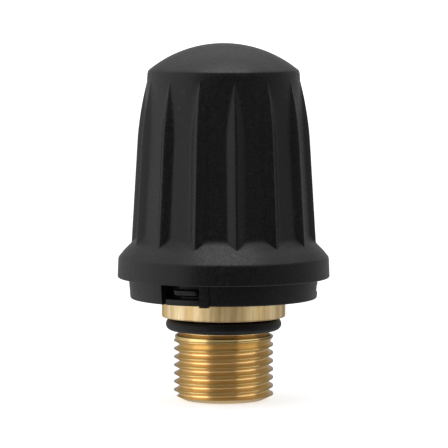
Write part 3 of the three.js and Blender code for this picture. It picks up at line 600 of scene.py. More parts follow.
def drawn_brass():
    """The outside of drawn bar: streaks along the bar, from pale gold to brownish."""
    n = Nodes("brass_collar")
    streaks = n.noise(1.0, detail=4.0, roughness=0.65, vector=n.mapped((750.0, 750.0, 26.0)))
    wide = n.noise(1.0, detail=3.0, roughness=0.6, vector=n.mapped((260.0, 260.0, 40.0)))
    pits = n.noise(1500.0, detail=3.0, roughness=0.6)
    tone = n.mix(n.range(wide, 0.0, 0.7, 0.44, 0.66), n.ramp(streaks, DRAWN_TONES), DRAWN_BROWN)
    n.set(Base_Color=tone, Metallic=1.0)
    n.set(Roughness=n.math("ADD", n.range(streaks, 0.38, 0.52, *MIDDLE), n.range(pits, -0.04, 0.06)))
    n.brush_round_axis(0.7)
    n.set(Normal=n.bump(pits, 0.15, 0.015, n.bump(streaks, 0.5, 0.03)))
    return n.material


def shaded_flange_brass():
    """The clutch flange, painted near-black with a faint mottle as painted shade in the recess behind the
    ring's windows.
    """
    n = Nodes("brass_painted_shade")
    shade_noise = n.noise(260.0, detail=3.0, roughness=0.6)
    n.set(Base_Color=n.ramp(shade_noise, FLANGE_SHADE_TONES), Metallic=0.3, IOR=1.4)
    n.set(Roughness=n.range(shade_noise, 0.45, 0.65, *MIDDLE))
    n.set(Normal=n.bump(shade_noise, 0.3, 0.05))
    return n.material


def seal_rubber():
    """Black rubber with a fine moulded skin and a faint bluish bloom."""
    n = Nodes("seal_rubber")
    skin = n.noise(1500.0, detail=3.0, roughness=0.6)
    n.set(Base_Color=n.ramp(n.noise(220.0, detail=3.0), RUBBER_TONES))
    n.set(Roughness=n.range(skin, 0.34, 0.48, *MIDDLE), IOR=1.5, Specular_IOR_Level=0.26)
    n.set(Normal=n.bump(skin, 0.3, 0.03))
    return n.material


def worked_steel(name, colour, roughness, streak_scale):
    """Steel with fine streaks: stamped sheet, drawn wire and plated screws."""
    n = Nodes(name)
    streaks = n.noise(1.0, detail=3.0, vector=n.mapped(streak_scale))
    patches = n.noise(300.0, detail=2.0)
    dark = tuple(STEEL_SHADOW * c for c in colour)
    n.set(Base_Color=n.ramp(patches, [(MIDDLE[0], dark), (MIDDLE[1], colour)]), Metallic=1.0)
    n.set(Roughness=n.range(streaks, roughness - 0.08, roughness + 0.1, *MIDDLE))
    n.set(Normal=n.bump(streaks, 0.2, 0.01))
    return n.material


def slide_plastic():
    """Off-white slide plastic, with painted shade darkening the rim of the widest washer, which sits in the
    recess behind the ring's windows.
    """
    n = Nodes("slide_plastic")
    clouds = n.noise(350.0, detail=3.0)
    # Painted shade: the washer darkens towards its outer rim
    rim_shade = n.range(n.axis_distance(), 0.0, 1.0, *SLIDE_RIM_SHADE_FADE)
    n.set(Base_Color=n.mix(rim_shade, n.ramp(clouds, SLIDE_TONES), RIM_SHADE_TONE))
    n.set(Roughness=n.range(clouds, 0.42, 0.55))
    n.set(Normal=n.bump(n.noise(1800.0), 0.1, 0.01))
    return n.material


looks = {
    "grip": black_plastic("grip_black", grain_scale=3400.0, roughness=0.36),
    "ring": black_plastic("ring_black", grain_scale=3000.0, roughness=0.36),
    "brass": turned_brass(),
    "collar": drawn_brass(),
    "flange_shade": shaded_flange_brass(),
    "rubber": seal_rubber(),
    "stainless": worked_steel("stainless", (0.62, 0.61, 0.59), 0.3, (900.0, 60.0, 60.0)),
    "spring": worked_steel("spring_wire", (0.5, 0.5, 0.52), 0.28, (500.0, 500.0, 90.0)),
    "screw": worked_steel("plated_screw", (0.66, 0.67, 0.68), 0.25, (300.0, 300.0, 1600.0)),
    "slide": slide_plastic(),
    "core": black_plastic("core_grey", grain_scale=2600.0, roughness=0.5),
}


def finished(piece, name, body, nodes, look, edge=0.0):
    """A piece cut from solids, named, shaded, bevelled if an edge width is given, settled and painted."""
    piece.name = name
    shade(piece, 35.0)
    if edge:
        bevel(piece, edge)
    settle(piece, body, nodes)
    paint(piece, looks[look])
    return piece


# ---------------- grip


def taper_radius(z):
    share = (z - GROOVE_LOW[1]) / (GROOVE_HIGH[1] - GROOVE_LOW[1])
    return GROOVE_LOW[0] + share * (GROOVE_HIGH[0] - GROOVE_LOW[0])


def soft_max(a, b, width):
    """The larger of two values, with the corner between them rounded over about that width."""
    gap = max(width - abs(a - b), 0.0) / width
    return max(a, b) + gap * gap * width / 4


def groove_radius(z):
    return soft_max(CONE_TOP[0] + CONE_TOP[1] - z, taper_radius(z), CONE_FILLET)


def rib_height(z):
    run_out = max(0.0, (z - RIB_RUN_OUT_FROM) / (GROOVE_HIGH[1] - RIB_RUN_OUT_FROM))
    return RIB_HEIGHT * max(0.0, 1 - run_out ** 2)


def facet_share(z):
    """How flat the wall between two ribs is: fully in the fluted part, not at all near the dome."""
    share = min(max((FACET_FADE[1] - z) / (FACET_FADE[1] - FACET_FADE[0]), 0.0), 1.0)
    return share * share * (3 - 2 * share) * min(max((z - CONE_TOP[1]) / FACET_RISE, 0.0), 1.0)


def rib_ring(z):
    """One ring of the fluted wall. Columns follow each rib's feet and crest, and crowd round them.

    The smallest values keep the columns apart where a rib has run out.
    """
    groove = groove_radius(z)
    crest = max(taper_radius(z) + rib_height(z), groove)
    height = crest - groove
    half_foot = height / RIB_SLOPE
    half_pitch = math.pi / RIB_COUNT * groove
    spread = min(RIB_FOOT_SPREAD, 0.45 * half_foot) + 1e-3
    crown = min(RIB_CROWN, 0.4 * half_foot) + 1e-6
    fillet = min(RIB_FILLET, 0.8 * height) + 1e-6
    wall = [half_pitch - k / 6 * (half_pitch - half_foot - spread) for k in range(7)]
    foot = [half_foot + spread * (1 - k / 3) for k in range(1, 6)]
    flank = [(half_foot - 2 / 3 * spread) * k / 8 for k in (7, 6, 5, 4, 3, 2, 1.3, 0.8, 0.4)]
    half = wall + foot + flank
    offsets = [-d for d in half] + [0.0] + list(reversed(half[1:]))
    facet = facet_share(z)
    ring = []
    for i in range(RIB_COUNT):
        centre = RIB_FIRST_ANGLE + i * FULL_TURN / RIB_COUNT
        for offset in offsets:
            from_middle = (half_pitch - abs(offset)) / groove
            flat = (groove - FACET_SINK) / math.cos(from_middle)
            base = groove + facet * (flat - groove)
            ridge = crest + RIB_SLOPE * (crown - math.hypot(offset, crown))
            r = soft_max(base, ridge, fillet)
            ring.append(circle_point(r, centre + offset / groove, z))
    return ring


def plain_like(ring, r, z):
    """A round ring whose points have the angles of another ring."""
    return [circle_point(r, math.atan2(y, x), z) for x, y, _ in ring]


def dome_rings(like):
    """The lip under the dome's edge and the dome, a piece of a sphere, up to its apex."""
    edge_r, edge_z = DOME_EDGE
    rise = DOME_APEX - edge_z
    sphere_r = (edge_r ** 2 + rise ** 2) / (2 * rise)
    edge_angle = math.asin(edge_r / sphere_r)
    rings = []
    for out, up in DOME_LIP:
        rings.append(plain_like(like, edge_r + out, edge_z + up))
    for k in range(DOME_ROWS):
        angle = (edge_angle - 0.008) * (1 - k / (DOME_ROWS - 1)) ** 1.02
        r, z = sphere_r * math.sin(angle), DOME_APEX - sphere_r * (1 - math.cos(angle))
        rings.append(plain_like(like, max(r, 1e-5), z))
    return rings


def skirt_rings(like):
    """From the skirt's underside up its band and over the rounded shoulder to the cone.

    The outline's first and last points are left out: the inside's last and the wall's first follow on.
    """
    outline = rounded([
        (CHANNEL_R, SKIRT_BOTTOM, 0.0), (SKIRT_EDGE_R, SKIRT_BOTTOM, 0.45),
        (SHOULDER_R, SHOULDER_EDGE_Z, 1.3), (SHOULDER_R - SHOULDER_INSET, SHOULDER_TOP, 0.0),
    ], 0.0, steps=6)
    return [plain_like(like, r, z) for r, z in outline[1:-1]]


def inside_rings(like):
    """From the dome's inner top down the cavity, round the snap sleeve and through the ring's channel."""
    outline = rounded(CAVITY_CROWN + [
        (CAVITY_R, CAVITY_TOP, 2.0), (CAVITY_R, SLEEVE_BOTTOM), (SLEEVE_R, SLEEVE_BOTTOM),
        (SLEEVE_R, CHANNEL_TOP), (CHANNEL_R, CHANNEL_TOP), (CHANNEL_R, SKIRT_BOTTOM, 0.2),
        (SKIRT_EDGE_R - 0.9, SKIRT_BOTTOM, 0.0),
    ], 0.25)
    return [plain_like(like, r, z) for r, z in outline]


def window_cutters(name, low_r, high_r, spans, bottom, top, steps):
    """Sector blocks, one for every span of degrees at every window."""
    blocks = []
    for turn in around(WINDOW_COUNT):
        for start, end in spans:
            outline = sector_outline(low_r, high_r, from_front(start) + turn, from_front(end) + turn, steps)
            blocks.append(prism(name, outline, bottom, top))
    return blocks


def make_grip():
    wall = [rib_ring(z) for z in ROWS_AT_CONE + ROWS_OF_FLUTES + ROWS_AT_RUN_OUT]
    like = wall[len(wall) // 2]
    rings = skirt_rings(wall[0]) + wall + dome_rings(like) + inside_rings(like)
    vertices = [v for ring in rings for v in ring]
    piece = finish_mesh("grip_shell", vertices, ring_faces(len(rings), len(like), True))
    beside_hook = [(SLIT_FROM, HOOK_FROM), (HOOK_TO, SLIT_TO)]
    behind_hook = [(HOOK_FROM - POCKET_MARGIN, HOOK_TO + POCKET_MARGIN)]
    past_sleeve_r = SLEEVE_R + PAST_WALL
    slits = window_cutters("slit", CAVITY_R - PAST_BORE, past_sleeve_r, beside_hook,
                           SLIT_BOTTOM, SLIT_TOP, 4)
    cut(piece, slits)
    pockets = window_cutters("pocket", CAVITY_R + POCKET_FLOOR, past_sleeve_r, behind_hook,
                             POCKET_BOTTOM, POCKET_TOP, 6)
    cut(piece, pockets)
    shade(piece, 40.0)
    settle(piece, "grip", ["grip_cap"])
    paint(piece, looks["grip"])
    return piece


def make_hooks():
    """Snap hooks of the grip, one in every window of the ring."""
    hooks = []
    steps = 14
    profile = rounded([(HOOK_ROOT_R, HOOK_BOTTOM), (HOOK_TOE_R, HOOK_BOTTOM, 0.3),
                       (HOOK_HEEL_R, HOOK_TOP, 0.3), (HOOK_ROOT_R, HOOK_TOP)], 0.1)
    for number, turn in enumerate(around(WINDOW_COUNT), 1):
        vertices = []
        for k in range(steps + 1):
            angle = from_front(HOOK_FROM + (HOOK_TO - HOOK_FROM) * k / steps) + turn
            end = min(k, steps - k) / steps
            draw_in = HOOK_DRAW_IN * max(0.0, 1 - end / HOOK_END_SHARE) ** 2
            vertices += [circle_point(r - draw_in * (r > HOOK_FREE_R), angle, z) for r, z in profile]
        count = len(profile)
        faces = ring_faces(steps + 1, count, False)
        faces += [tuple(range(count)), tuple(range(steps * count, (steps + 1) * count))]
        piece = finish_mesh(f"snap_hook_{number}", vertices, faces, "grip")
        paint(piece, looks["grip"])
        hooks.append(piece)
    return hooks


def make_ring():
    """The retaining ring, with its windows, the slots under them and a post beside each."""
    body = turned("ring_shell", [
        (RING_BORE_R, RING_BOTTOM, 0.25), (RING_LOW_R, RING_BOTTOM, 0.45), (RING_HIGH_R, SKIRT_BOTTOM, 0.0),
        (RING_HIGH_R, RING_TOP, 0.3), (RING_WALL_R, RING_TOP), (RING_WALL_R, RING_LIP_TOP),
        (RING_BORE_R, RING_LIP_TOP),
    ], columns=240)
    high_r = RING_HIGH_R + 2
    windows = window_cutters("window", WINDOW_INNER_R, high_r, [(WINDOW_FROM, WINDOW_TO)],
                             WINDOW_BOTTOM, WINDOW_TOP, 12)
    slots = window_cutters("slot", WINDOW_INNER_R, high_r, [(WINDOW_FROM, WINDOW_SLOT_TO)],
                           RING_BOTTOM - 1, SLOT_TOP, 4)
    posts = window_cutters("post", RING_LOW_R - POST_ROOTING, POST_OUTER_R, [(POST_FROM, POST_TO)],
                           POST_BOTTOM, SKIRT_BOTTOM - POST_TOP_GAP, 6)
    cut(body, windows)
    cut(body, slots)
    join(body, posts)
    return finished(body, "ring_shell", "grip", ["retaining_ring"], "ring", 0.12)


# ---------------- brass closure


def thread_radius(pitches_from_crest):
    """Thread form: a narrow flat crest, straight flanks at nearly sixty degrees and a narrow root."""
    phase = abs(pitches_from_crest - round(pitches_from_crest))
    flank = min(max((THREAD_FOOT - phase) / (THREAD_FOOT - THREAD_CREST_HALF), 0.0), 1.0)
    return THREAD_ROOT_R + (THREAD_CREST_R - THREAD_ROOT_R) * flank


def run_out_radius(z):
    """The least radius at a height: the last root under the seal groove gets shallower."""
    share = min(max((z - THREAD_FADE[0]) / (THREAD_FADE[1] - THREAD_FADE[0]), 0.0), 1.0)
    rise = THREAD_FADE_DEPTH * (THREAD_CREST_R - THREAD_ROOT_R)
    return THREAD_ROOT_R + rise * share * share * (3 - 2 * share)


def threaded_rod():
    """Rows of the grid run along the helix, so that crests and roots stay sharp."""
    columns = THREAD_COLUMNS
    bottom, top = -THREAD_PITCH, THREAD_TOP
    half = [0.0, 0.045, THREAD_CREST_HALF, 0.14, 0.22, 0.3, 0.37, THREAD_FOOT, 0.46]
    phases = [-0.5] + [-p for p in reversed(half[1:])] + half
    pitches = math.ceil((top - bottom) / THREAD_PITCH) + 2
    first = THREAD_CREST_AT_X - (pitches - 1) * THREAD_PITCH
    heights = [first + THREAD_PITCH * (turn + phase) for turn in range(pitches + 1) for phase in phases]
    vertices = []
    for base in heights:
        for i in range(columns):
            climb = THREAD_PITCH * i / columns
            z = min(max(base + climb, bottom), top)
            r = max(thread_radius((z - climb - THREAD_CREST_AT_X) / THREAD_PITCH), run_out_radius(z))
            vertices.append(circle_point(r, FULL_TURN * i / columns, z))
    last = len(heights) - 1

    def vertex(row, i):
        if i < columns:
            return row * columns + i
        return min(row + len(phases), last) * columns

    faces = []
    for row in range(last):
        for i in range(columns):
            faces.append((vertex(row, i), vertex(row, i + 1), vertex(row + 1, i + 1), vertex(row + 1, i)))
    faces.append(tuple(reversed(range(columns))))
    faces.append(tuple(last * columns + i for i in range(columns)))
    return finish_mesh("threaded_rod", vertices, faces)


def make_spigot():
    """The thread inside its envelope, with a chamfered end and a run-out under the seal groove."""
    rod = threaded_rod()
    wide = THREAD_CREST_R + PAST_CREST
    chamfer_top = (wide - SPIGOT_END_R) / SPIGOT_CHAMFER_SLOPE
    rod_top = THREAD_TOP - ROD_END_CUT
    envelope = turned("envelope", [
        (0, 0), (SPIGOT_END_R, 0, SPIGOT_EDGE), (wide, chamfer_top), (wide, THREAD_TOP - RUN_OUT_HEIGHT),
        (THREAD_ROOT_R, rod_top), (0, rod_top),
    ], columns=THREAD_COLUMNS, radius=0.0)
    combine(rod, [envelope], "INTERSECT")
    return rod


def make_bore():
    """All that is bored out of the closure, from the spigot's open end to the tube's."""
    mouth_r, end_r = SPIGOT_BORE_R + SPIGOT_BORE_CHAMFER, CHAMBER_R + CHAMBER_CHAMFER
    return solid([
        (0, -1), (mouth_r, -1), (mouth_r, 0.0), (SPIGOT_BORE_R, SPIGOT_BORE_CHAMFER),
        (SPIGOT_BORE_R, CLIP_GROOVE_BOTTOM), (CLIP_GROOVE_R, CLIP_GROOVE_BOTTOM),
        (CLIP_GROOVE_R, CLIP_GROOVE_TOP), (SPIGOT_BORE_R, CLIP_GROOVE_TOP),
        (SPIGOT_BORE_R, SPIGOT_BORE_TOP), (INLET_R, SPIGOT_BORE_TOP), (INLET_R, INLET_TOP),
        (SEAT_HOLE_R, INLET_TOP), (SEAT_HOLE_R, SEAT_LIP_TOP), (SEAT_LIP_R, SEAT_LIP_TOP),
        (SEAT_LIP_R, CHAMBER_FLOOR), (CHAMBER_R, CHAMBER_FLOOR), (CHAMBER_R, CHAMBER_TOP),
        (end_r, CHAMBER_TOP + CHAMBER_CHAMFER), (end_r, BORE_END), (0, BORE_END),
    ])


def dog_teeth(bottom, top, phase):
    """Ring of clutch teeth. The phase is counted in tooth pitches."""
    teeth = []
    for centre in around(DOG_COUNT, phase * FULL_TURN / DOG_COUNT):
        ends = centre - DOG_HALF_WIDTH, centre + DOG_HALF_WIDTH
        outline = sector_outline(DOG_INNER_R, DOG_OUTER_R, *ends, 4)
        teeth.append(prism("tooth", outline, bottom, top))
    return teeth


def make_closure():
    """The brass closure in one piece: threaded spigot, collar, flange with dog teeth, and guide tube."""
    body = turned("closure", [
        (0, NECK_BOTTOM), (NECK_R, NECK_BOTTOM), (NECK_R, NECK_TOP), (SEAL_SHAFT_R, SEAL_SHAFT_BOTTOM, 0.2),
        (SEAL_SHAFT_R, COLLAR_BOTTOM, 0.2), (COLLAR_R, COLLAR_BOTTOM, 0.35), (COLLAR_R, FLANGE_BOTTOM, 0.1),
        (FLANGE_R, FLANGE_BOTTOM, 0.3), (FLANGE_R, FLANGE_TOP, 0.2), (TUBE_R, FLANGE_TOP, 0.3),
        (TUBE_R, TUBE_TOP, 0.4), (0, TUBE_TOP),
    ], columns=192)
    join(body, dog_teeth(*FLANGE_TEETH, 0))
    plans = [[(side * x, y) for x, y in TUBE_FLAT_CUT] for side in (1, -1)]
    flats = [prism("flat", plan, TUBE_FLAT_BOTTOM, BORE_END) for plan in plans]
    cut(body, flats)
    join(body, [make_spigot()])
    cut(body, [make_bore()])
    shade(body, 36.0)
    settle(body, "closure", ["closure_body"])
    body.data.materials.clear()
    # Faces above the collar's top get the painted shade
    for look in ("brass", "collar", "flange_shade"):
        body.data.materials.append(looks[look])
    for face in body.data.polygons:
        face.material_index = sum(face.center.z > top * MM for top in (BRASS_LOOK_TOP, COLLAR_LOOK_TOP))
    return body


def make_seal_ring():
    columns, around_section = 160, 36
    vertices = []
    for i in range(columns):
        angle = FULL_TURN * i / columns
        for k in range(around_section):
            turn = FULL_TURN * k / around_section
            r = SEAL_MEAN_R + SEAL_HALF_WIDTH * math.cos(turn)
            vertices.append(circle_point(r, angle, SEAL_MIDDLE_Z + SEAL_HALF_HEIGHT * math.sin(turn)))
    piece = finish_mesh("seal_ring", vertices, ring_faces(columns, around_section, True),
                        "closure", ["seal_o_ring"], 60.0)
    paint(piece, looks["rubber"])
    return piece


black_pieces = [make_grip(), *make_hooks(), make_ring(), make_seal_ring()]
brass_pieces = [make_closure()]

# ---------------- works inside the grip


def cylinders(count, circle_r, first_angle, rod):
    return ring_of(count, circle_r, first_angle, lambda: cylinder(*rod))


def make_crown():
    crown = solid(band(*CROWN_BAND))
    join(crown, dog_teeth(*CROWN_TEETH, 0.5))
    sinks = ring_of(SCREW_RING, CROWN_SCREW_CIRCLE, 0, lambda: solid(CROWN_SINK, columns=32))
    cut(crown, sinks)
    finished(crown, "clutch_crown", "grip", ["drive_crown"], "stainless", 0.12)


def make_core():
    core = solid(CORE_PROFILE)
    join(core, cylinders(SCREW_RING, CROWN_SCREW_CIRCLE, 0, CORE_BOSS))
    join(core, cylinders(SCREW_RING, DEFLECTOR_CIRCLE, 0, CORE_POST))
    holes = cylinders(SCREW_RING, CROWN_SCREW_CIRCLE, 0, CORE_BOSS_PILOT)
    holes += cylinders(SCREW_RING, CORE_SCREW_CIRCLE, CORE_SCREW_ANGLE, CORE_SCREW_HOLE)
    holes += cylinders(STEAM_HOLE_COUNT, STEAM_HOLE_CIRCLE, KEY_ANGLE, STEAM_HOLE)
    cut(core, holes)
    cut(core, cylinders(SCREW_RING, DEFLECTOR_CIRCLE, 0, CORE_POST_PILOT))
    cut(core, [block(*KEY_NOTCH, angle) for angle in around(SCREW_RING, KEY_ANGLE)])
    finished(core, "inner_core", "grip", ["grip_core"], "core", 0.12)


def make_cap_inside():
    """Screw bosses and locating keys moulded inside the grip."""
    pieces = []
    for number, angle in enumerate(around(SCREW_RING, CORE_SCREW_ANGLE), 1):
        boss = cylinder(*CAP_BOSS)
        cut(boss, [cylinder(*CAP_BOSS_PILOT)])
        pieces.append((f"screw_boss_{number}", shifted(boss, CORE_SCREW_CIRCLE, angle)))
    for number, angle in enumerate(around(SCREW_RING, KEY_ANGLE), 1):
        pieces.append((f"locating_key_{number}", block(*KEY, angle)))
    for name, piece in pieces:
        finished(piece, name, "grip", [], "grip", 0.1)


def make_deflector():
    plate = cylinder(*DEFLECTOR, 96)
    join(plate, cylinders(SCREW_RING, DEFLECTOR_CIRCLE, 0, DEFLECTOR_LOBE))
    cut(plate, cylinders(SCREW_RING, DEFLECTOR_CIRCLE, 0, DEFLECTOR_HOLE))
    finished(plate, "deflector_plate", "grip", ["steam_deflector"], "stainless", 0.1)


def cad_heights(node):
    """Bottom and top of a CAD piece, in millimetres."""
    low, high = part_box(node)
    return low.z / MM, high.z / MM


def make_turned_parts():
    """Thrust washers, spring seat, guide bush, valve poppet and the seal disc in it."""
    parts = [
        ("lower_washer", "grip", "slide_white", "lower_thrust_washer", "slide", band(*LOWER_WASHER)),
        ("upper_washer", "spring_carrier", "slide_white", "upper_thrust_washer", "slide",
         band(*UPPER_WASHER)),
        ("seat_washer", "closure", "stainless", "spring_seat", "stainless", band(*SPRING_SEAT)),
        ("bush", "grip", "slide_white", "guide_bush", "slide", BUSH_PROFILE),
        ("poppet", "relief_valve", "brass_inner", "relief_poppet", "brass", POPPET_PROFILE),
        ("poppet_seal_disc", "relief_valve", "seal_rubber", "poppet_seal", "rubber",
         band(0, POPPET_SEAL_R, *cad_heights("poppet_seal"))),
    ]
    for name, body, slot, node, look, profile in parts:
        paint(turned(name, profile, body, [node]), looks[look])


def make_spring_plate():
    plate = cylinder(*SPRING_PLATE, 128)
    bore = cylinder(*SPRING_PLATE_BORE, 128)
    cut(bore, [block(side * (PLATE_FLAT_X + 2), *PLATE_FLAT_BAR) for side in (1, -1)])
    cut(plate, [bore])
    finished(plate, "keyed_plate", "spring_carrier", ["spring_plate"], "stainless", 0.1)


def make_adjuster():
    """The adjusting screw and the hexagon nut that locks it."""
    screw = solid(ADJUSTER_PROFILE, 0.15, 128)
    cut(screw, [block(*ADJUSTER_SLOT)])
    cut(screw, cylinders(VENT_HOLE_COUNT, VENT_HOLE_CIRCLE, VENT_HOLE_ANGLE, VENT_HOLE))
    finished(screw, "adjusting_screw", "closure", ["relief_adjuster"], "brass", 0.06)
    corner_r = NUT_ACROSS_FLATS / math.sqrt(3)
    nut = prism("nut", circle_outline(corner_r, 6), NUT_BOTTOM, NUT_TOP)
    crown = solid([(0, NUT_BOTTOM), (NUT_FACE_R, NUT_BOTTOM), (corner_r, NUT_BOTTOM + NUT_BEVEL_HEIGHT),
                   (corner_r, NUT_TOP - NUT_BEVEL_HEIGHT), (NUT_FACE_R, NUT_TOP), (0, NUT_TOP)])
    combine(nut, [crown], "INTERSECT")
    cut(nut, [cylinder(*NUT_BORE, 96)])
    finished(nut, "lock_nut", "closure", ["adjuster_lock_nut"], "brass", 0.06)


def make_strainer():
    """Disc with its holes on a grid of equal triangles."""
    plate = cylinder(*STRAINER, 96)
    holes = []
    for row in range(-4, 5):
        for column in range(-6, 7):
            x, y = (column + row / 2) * STRAINER_PITCH, row * STRAINER_PITCH * math.sin(math.pi / 3)
            if math.hypot(x, y) < STRAINER_HOLES_WITHIN:
                holes.append(shifted(cylinder(*STRAINER_HOLE, 20), math.hypot(x, y), math.atan2(y, x)))
    cut(plate, holes)
    finished(plate, "strainer_plate", "closure", ["inlet_strainer"], "stainless", 0.04)


def swept(name, path, wire_r, sides, body, node, look):
    """Round wire along a path of points, with flat ends."""
    vertices = []
    for i, here in enumerate(path):
        ahead = path[min(i + 1, len(path) - 1)] - path[max(i - 1, 0)]
        side = Vector((here.x, here.y, 0)).normalized()
        up = ahead.cross(side).normalized()
        for k in range(sides):
            turn = FULL_TURN * k / sides
            vertices.append(tuple(here + side * wire_r * math.cos(turn) + up * wire_r * math.sin(turn)))
    faces = ring_faces(len(path), sides, False)
    faces += [tuple(range(sides)), tuple(range((len(path) - 1) * sides, len(path) * sides))]
    piece = finish_mesh(name, vertices, faces, body, [node], 50.0)
    paint(piece, looks[look])
    return piece


def coil_path(mean_r, wire_r, bottom, top, turns, steps_per_turn=56):
    """Spring wire with its first and last turn flat, and the turns between them sharing the rise."""
    path = []
    rise = top - bottom - 6 * wire_r
    for k in range(turns * steps_per_turn + 1):
        turn = k / steps_per_turn
        active = min(max((turn - 1) / (turns - 2), 0.0), 1.0)
        flat = 2 * wire_r * (min(turn, 1.0) + max(turn - turns + 1, 0.0))
        path.append(Vector(circle_point(mean_r, turn * FULL_TURN, bottom + wire_r + flat + active * rise)))
    return path


def make_springs():
    grip_spring = swept("return_spring", coil_path(*GRIP_SPRING), GRIP_SPRING[1], 16,
                        "closure", "grip_spring", "spring")
    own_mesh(grip_spring)
    relief_spring = swept("valve_spring", coil_path(*RELIEF_SPRING), RELIEF_SPRING[1], 16,
                          "closure", "relief_spring", "spring")
    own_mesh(relief_spring)
    arc = [CLIP_GAP + (FULL_TURN - 2 * CLIP_GAP) * k / 90 for k in range(91)]
    swept("retaining_clip", [Vector(circle_point(CLIP_MEAN_R, a, CLIP_Z)) for a in arc], CLIP_WIRE_R, 14,
          "closure", "strainer_clip", "spring")


def thread_profile(r, low, high, pitch):
    """Ridges of a thread-forming screw, from low to high."""
    points = []
    count = int((high - low) / pitch)
    for k in range(count):
        points += [(0.82 * r, low + k * pitch), (r, low + (k + 0.5) * pitch)]
    return points + [(0.82 * r, low + count * pitch)]


def make_screws():
    """Three rings of three screws, each with a cross recess in its head."""
    for kind, circle_r, first_angle, recess, below, thread, above in SCREWS:
        master = solid(below + thread_profile(*thread) + above, 0.0, 40)
        for angle in (0, math.pi / 2):
            cut(master, [block(0, 0, *RECESS_SIZE, *recess, angle)])
        for number, angle in enumerate(around(SCREW_RING, first_angle), 1):
            node = f"{kind}_{number}"
            screw = bpy.data.objects.new(node + "_detail", master.data.copy())
            bpy.context.scene.collection.objects.link(screw)
            shifted(screw, circle_r, angle)
            finished(screw, node + "_detail", "grip", [node], "screw")
        bpy.data.objects.remove(master)


make_crown()
make_core()
make_cap_inside()
make_deflector()
make_turned_parts()
make_spring_plate()
make_adjuster()
make_strainer()
make_springs()
make_screws()

# ---------------- stage, light and camera

# Sizes and places of the stage are in metres.
FLOOR_REACH = 30.0
FLOOR_DROP = 0.0002
FLOOR_TONE, FLOOR_GLOW = 0.86, 0.6
CARD_DISTANCE = 1.35
CARD_STEPS = 150
CARD_BOTTOM, CARD_TOP = -1.2, 1.1
# Shades of the card, as (degrees from the front, brightness)
CARD_SHADES = [(-38, 0.1), (24, 0.1), (42, 0.14), (60, 0.22), (85, 0.34), (116, 0.42), (150, 0.4),
               (215, 0.4), (240, 0.7), (262, 1.0)]
# The world dims to this share between these heights of the direction looked in
DIM_SHARE, DIM_FROM, DIM_TO = 0.65, -0.22, -0.5
CAMERA_SIDE, CAMERA_DISTANCE, CAMERA_HEIGHT = 0.0001, 0.777, 0.1037
AIM_HEIGHT = 0.0424
LENS, SENSOR_WIDTH = 259.8, 36.0
NEAREST, FARTHEST = 0.01, 100.0


def plain_object(name, vertices, faces, material):
    """A studio object, in metres, which isn't part of the cap."""
    mesh = bpy.data.meshes.new(name)
    mesh.from_pydata(vertices, [], faces)
    thing = bpy.data.objects.new(name, mesh)
    bpy.context.scene.collection.objects.link(thing)
    paint(thing, material)
    return thing


def make_floor():
    outline = circle_outline(FLOOR_REACH, 64)
    n = Nodes("pale_floor")
    n.set(Base_Color=(FLOOR_TONE, FLOOR_TONE, FLOOR_TONE), Roughness=0.85)
    n.set(Emission_Color=(1.0, 1.0, 1.0), Emission_Strength=FLOOR_GLOW)
    vertices = [(x, y, -FLOOR_DROP) for x, y in outline]
    floor = plain_object("floor", vertices, [tuple(range(len(outline)))], n.material)
    floor.visible_glossy = False


def card_shade(degrees):
    """Brightness of the card at an angle from the front, changing evenly between the listed places."""
    for (low, low_shade), (high, high_shade) in zip(CARD_SHADES, CARD_SHADES[1:]):
        if degrees <= high:
            return low_shade + (high_shade - low_shade) * (degrees - low) / (high - low)
    return CARD_SHADES[-1][1]


def make_card():
    """A curved card round the studio, dark in front and grey behind, and open on the left."""
    steps = CARD_STEPS
    first, last = CARD_SHADES[0][0], CARD_SHADES[-1][0]
    places = [first + (last - first) * k / steps for k in range(steps + 1)]
    vertices = []
    for place in places:
        x, y = CARD_DISTANCE * math.cos(from_front(place)), CARD_DISTANCE * math.sin(from_front(place))
        vertices += [(x, y, CARD_BOTTOM), (x, y, CARD_TOP)]
    faces = [(2 * k, 2 * k + 2, 2 * k + 3, 2 * k + 1) for k in range(steps)]
    n = Nodes("graded_card")
    shade_node = n.tree.nodes.new("ShaderNodeAttribute")
    shade_node.attribute_name = "shade"
    n.set(Base_Color=(0.0, 0.0, 0.0), Roughness=1.0, Emission_Strength=1.0)
    n.set(Emission_Color=shade_node.outputs["Color"])
    card = plain_object("card", vertices, faces, n.material)
    shades = card.data.color_attributes.new("shade", "FLOAT_COLOR", "POINT")
    for k, place in enumerate(places):
        value = card_shade(place)
        for corner in (2 * k, 2 * k + 1):
            shades.data[corner].color = (value, value, value, 1.0)
    card.visible_camera = False


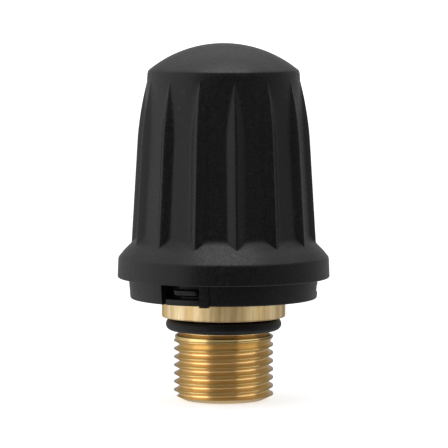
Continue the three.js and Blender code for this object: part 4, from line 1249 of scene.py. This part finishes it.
def soft_light(name, azimuth, elevation, distance, width, height, radiance, only_on):
    """Area light aimed at the object, in metres. Azimuth is in degrees from the front, towards +X."""
    data = bpy.data.lights.new(name, "AREA")
    data.shape = "RECTANGLE"
    data.size, data.size_y = width, height
    data.energy = 4 * width * height * radiance
    light = bpy.data.objects.new(name, data)
    bpy.context.scene.collection.objects.link(light)
    a, e = math.radians(azimuth), math.radians(elevation)
    away = Vector((math.sin(a) * math.cos(e), -math.cos(a) * math.cos(e), math.sin(e)))
    light.location = Vector((0, 0, AIM_HEIGHT)) + away * distance
    light.rotation_mode = "QUATERNION"
    light.rotation_quaternion = away.to_track_quat("Z", "Y")
    receivers = bpy.data.collections.new(name + "_receivers")
    for piece in only_on:
        receivers.objects.link(piece)
    light.light_linking.receiver_collection = receivers


def make_world():
    """White all round and overhead, and dim from below, where the floor would be."""
    world = bpy.data.worlds.new("studio")
    bpy.context.scene.world = world
    world.use_nodes = True
    tree = world.node_tree
    background = tree.nodes["Background"]
    direction = tree.nodes.new("ShaderNodeTexCoord")
    split = tree.nodes.new("ShaderNodeSeparateXYZ")
    height = tree.nodes.new("ShaderNodeMapRange")
    height.inputs["From Min"].default_value = DIM_TO
    height.inputs["From Max"].default_value = DIM_FROM
    height.inputs["To Min"].default_value = DIM_SHARE
    tree.links.new(direction.outputs["Generated"], split.inputs["Vector"])
    tree.links.new(split.outputs["Z"], height.inputs["Value"])
    tree.links.new(height.outputs["Result"], background.inputs["Color"])


def make_camera():
    data = bpy.data.cameras.new("camera")
    data.lens = LENS
    data.sensor_width = SENSOR_WIDTH
    data.clip_start, data.clip_end = NEAREST, FARTHEST
    camera = bpy.data.objects.new("camera", data)
    bpy.context.scene.collection.objects.link(camera)
    camera.location = (CAMERA_SIDE, -CAMERA_DISTANCE, CAMERA_HEIGHT)
    aim = Vector((CAMERA_SIDE, 0, AIM_HEIGHT)) - camera.location
    camera.rotation_mode = "QUATERNION"
    camera.rotation_quaternion = aim.to_track_quat("-Z", "Y")
    bpy.context.scene.camera = camera


make_floor()
make_card()
make_world()
soft_light("top_softbox", azimuth=10, elevation=84, distance=0.7, width=0.5, height=0.5,
           radiance=1.7, only_on=black_pieces)
soft_light("right_fill", azimuth=62, elevation=6, distance=0.7, width=0.75, height=0.6,
           radiance=1.0, only_on=brass_pieces)
soft_light("left_fill", azimuth=-64, elevation=6, distance=0.7, width=0.6, height=0.6,
           radiance=1.2, only_on=brass_pieces)
soft_light("front_fill", azimuth=-4, elevation=2, distance=0.9, width=1.1, height=0.5,
           radiance=0.42, only_on=brass_pieces)
make_camera()
bpy.context.scene.view_settings.view_transform = "Standard"
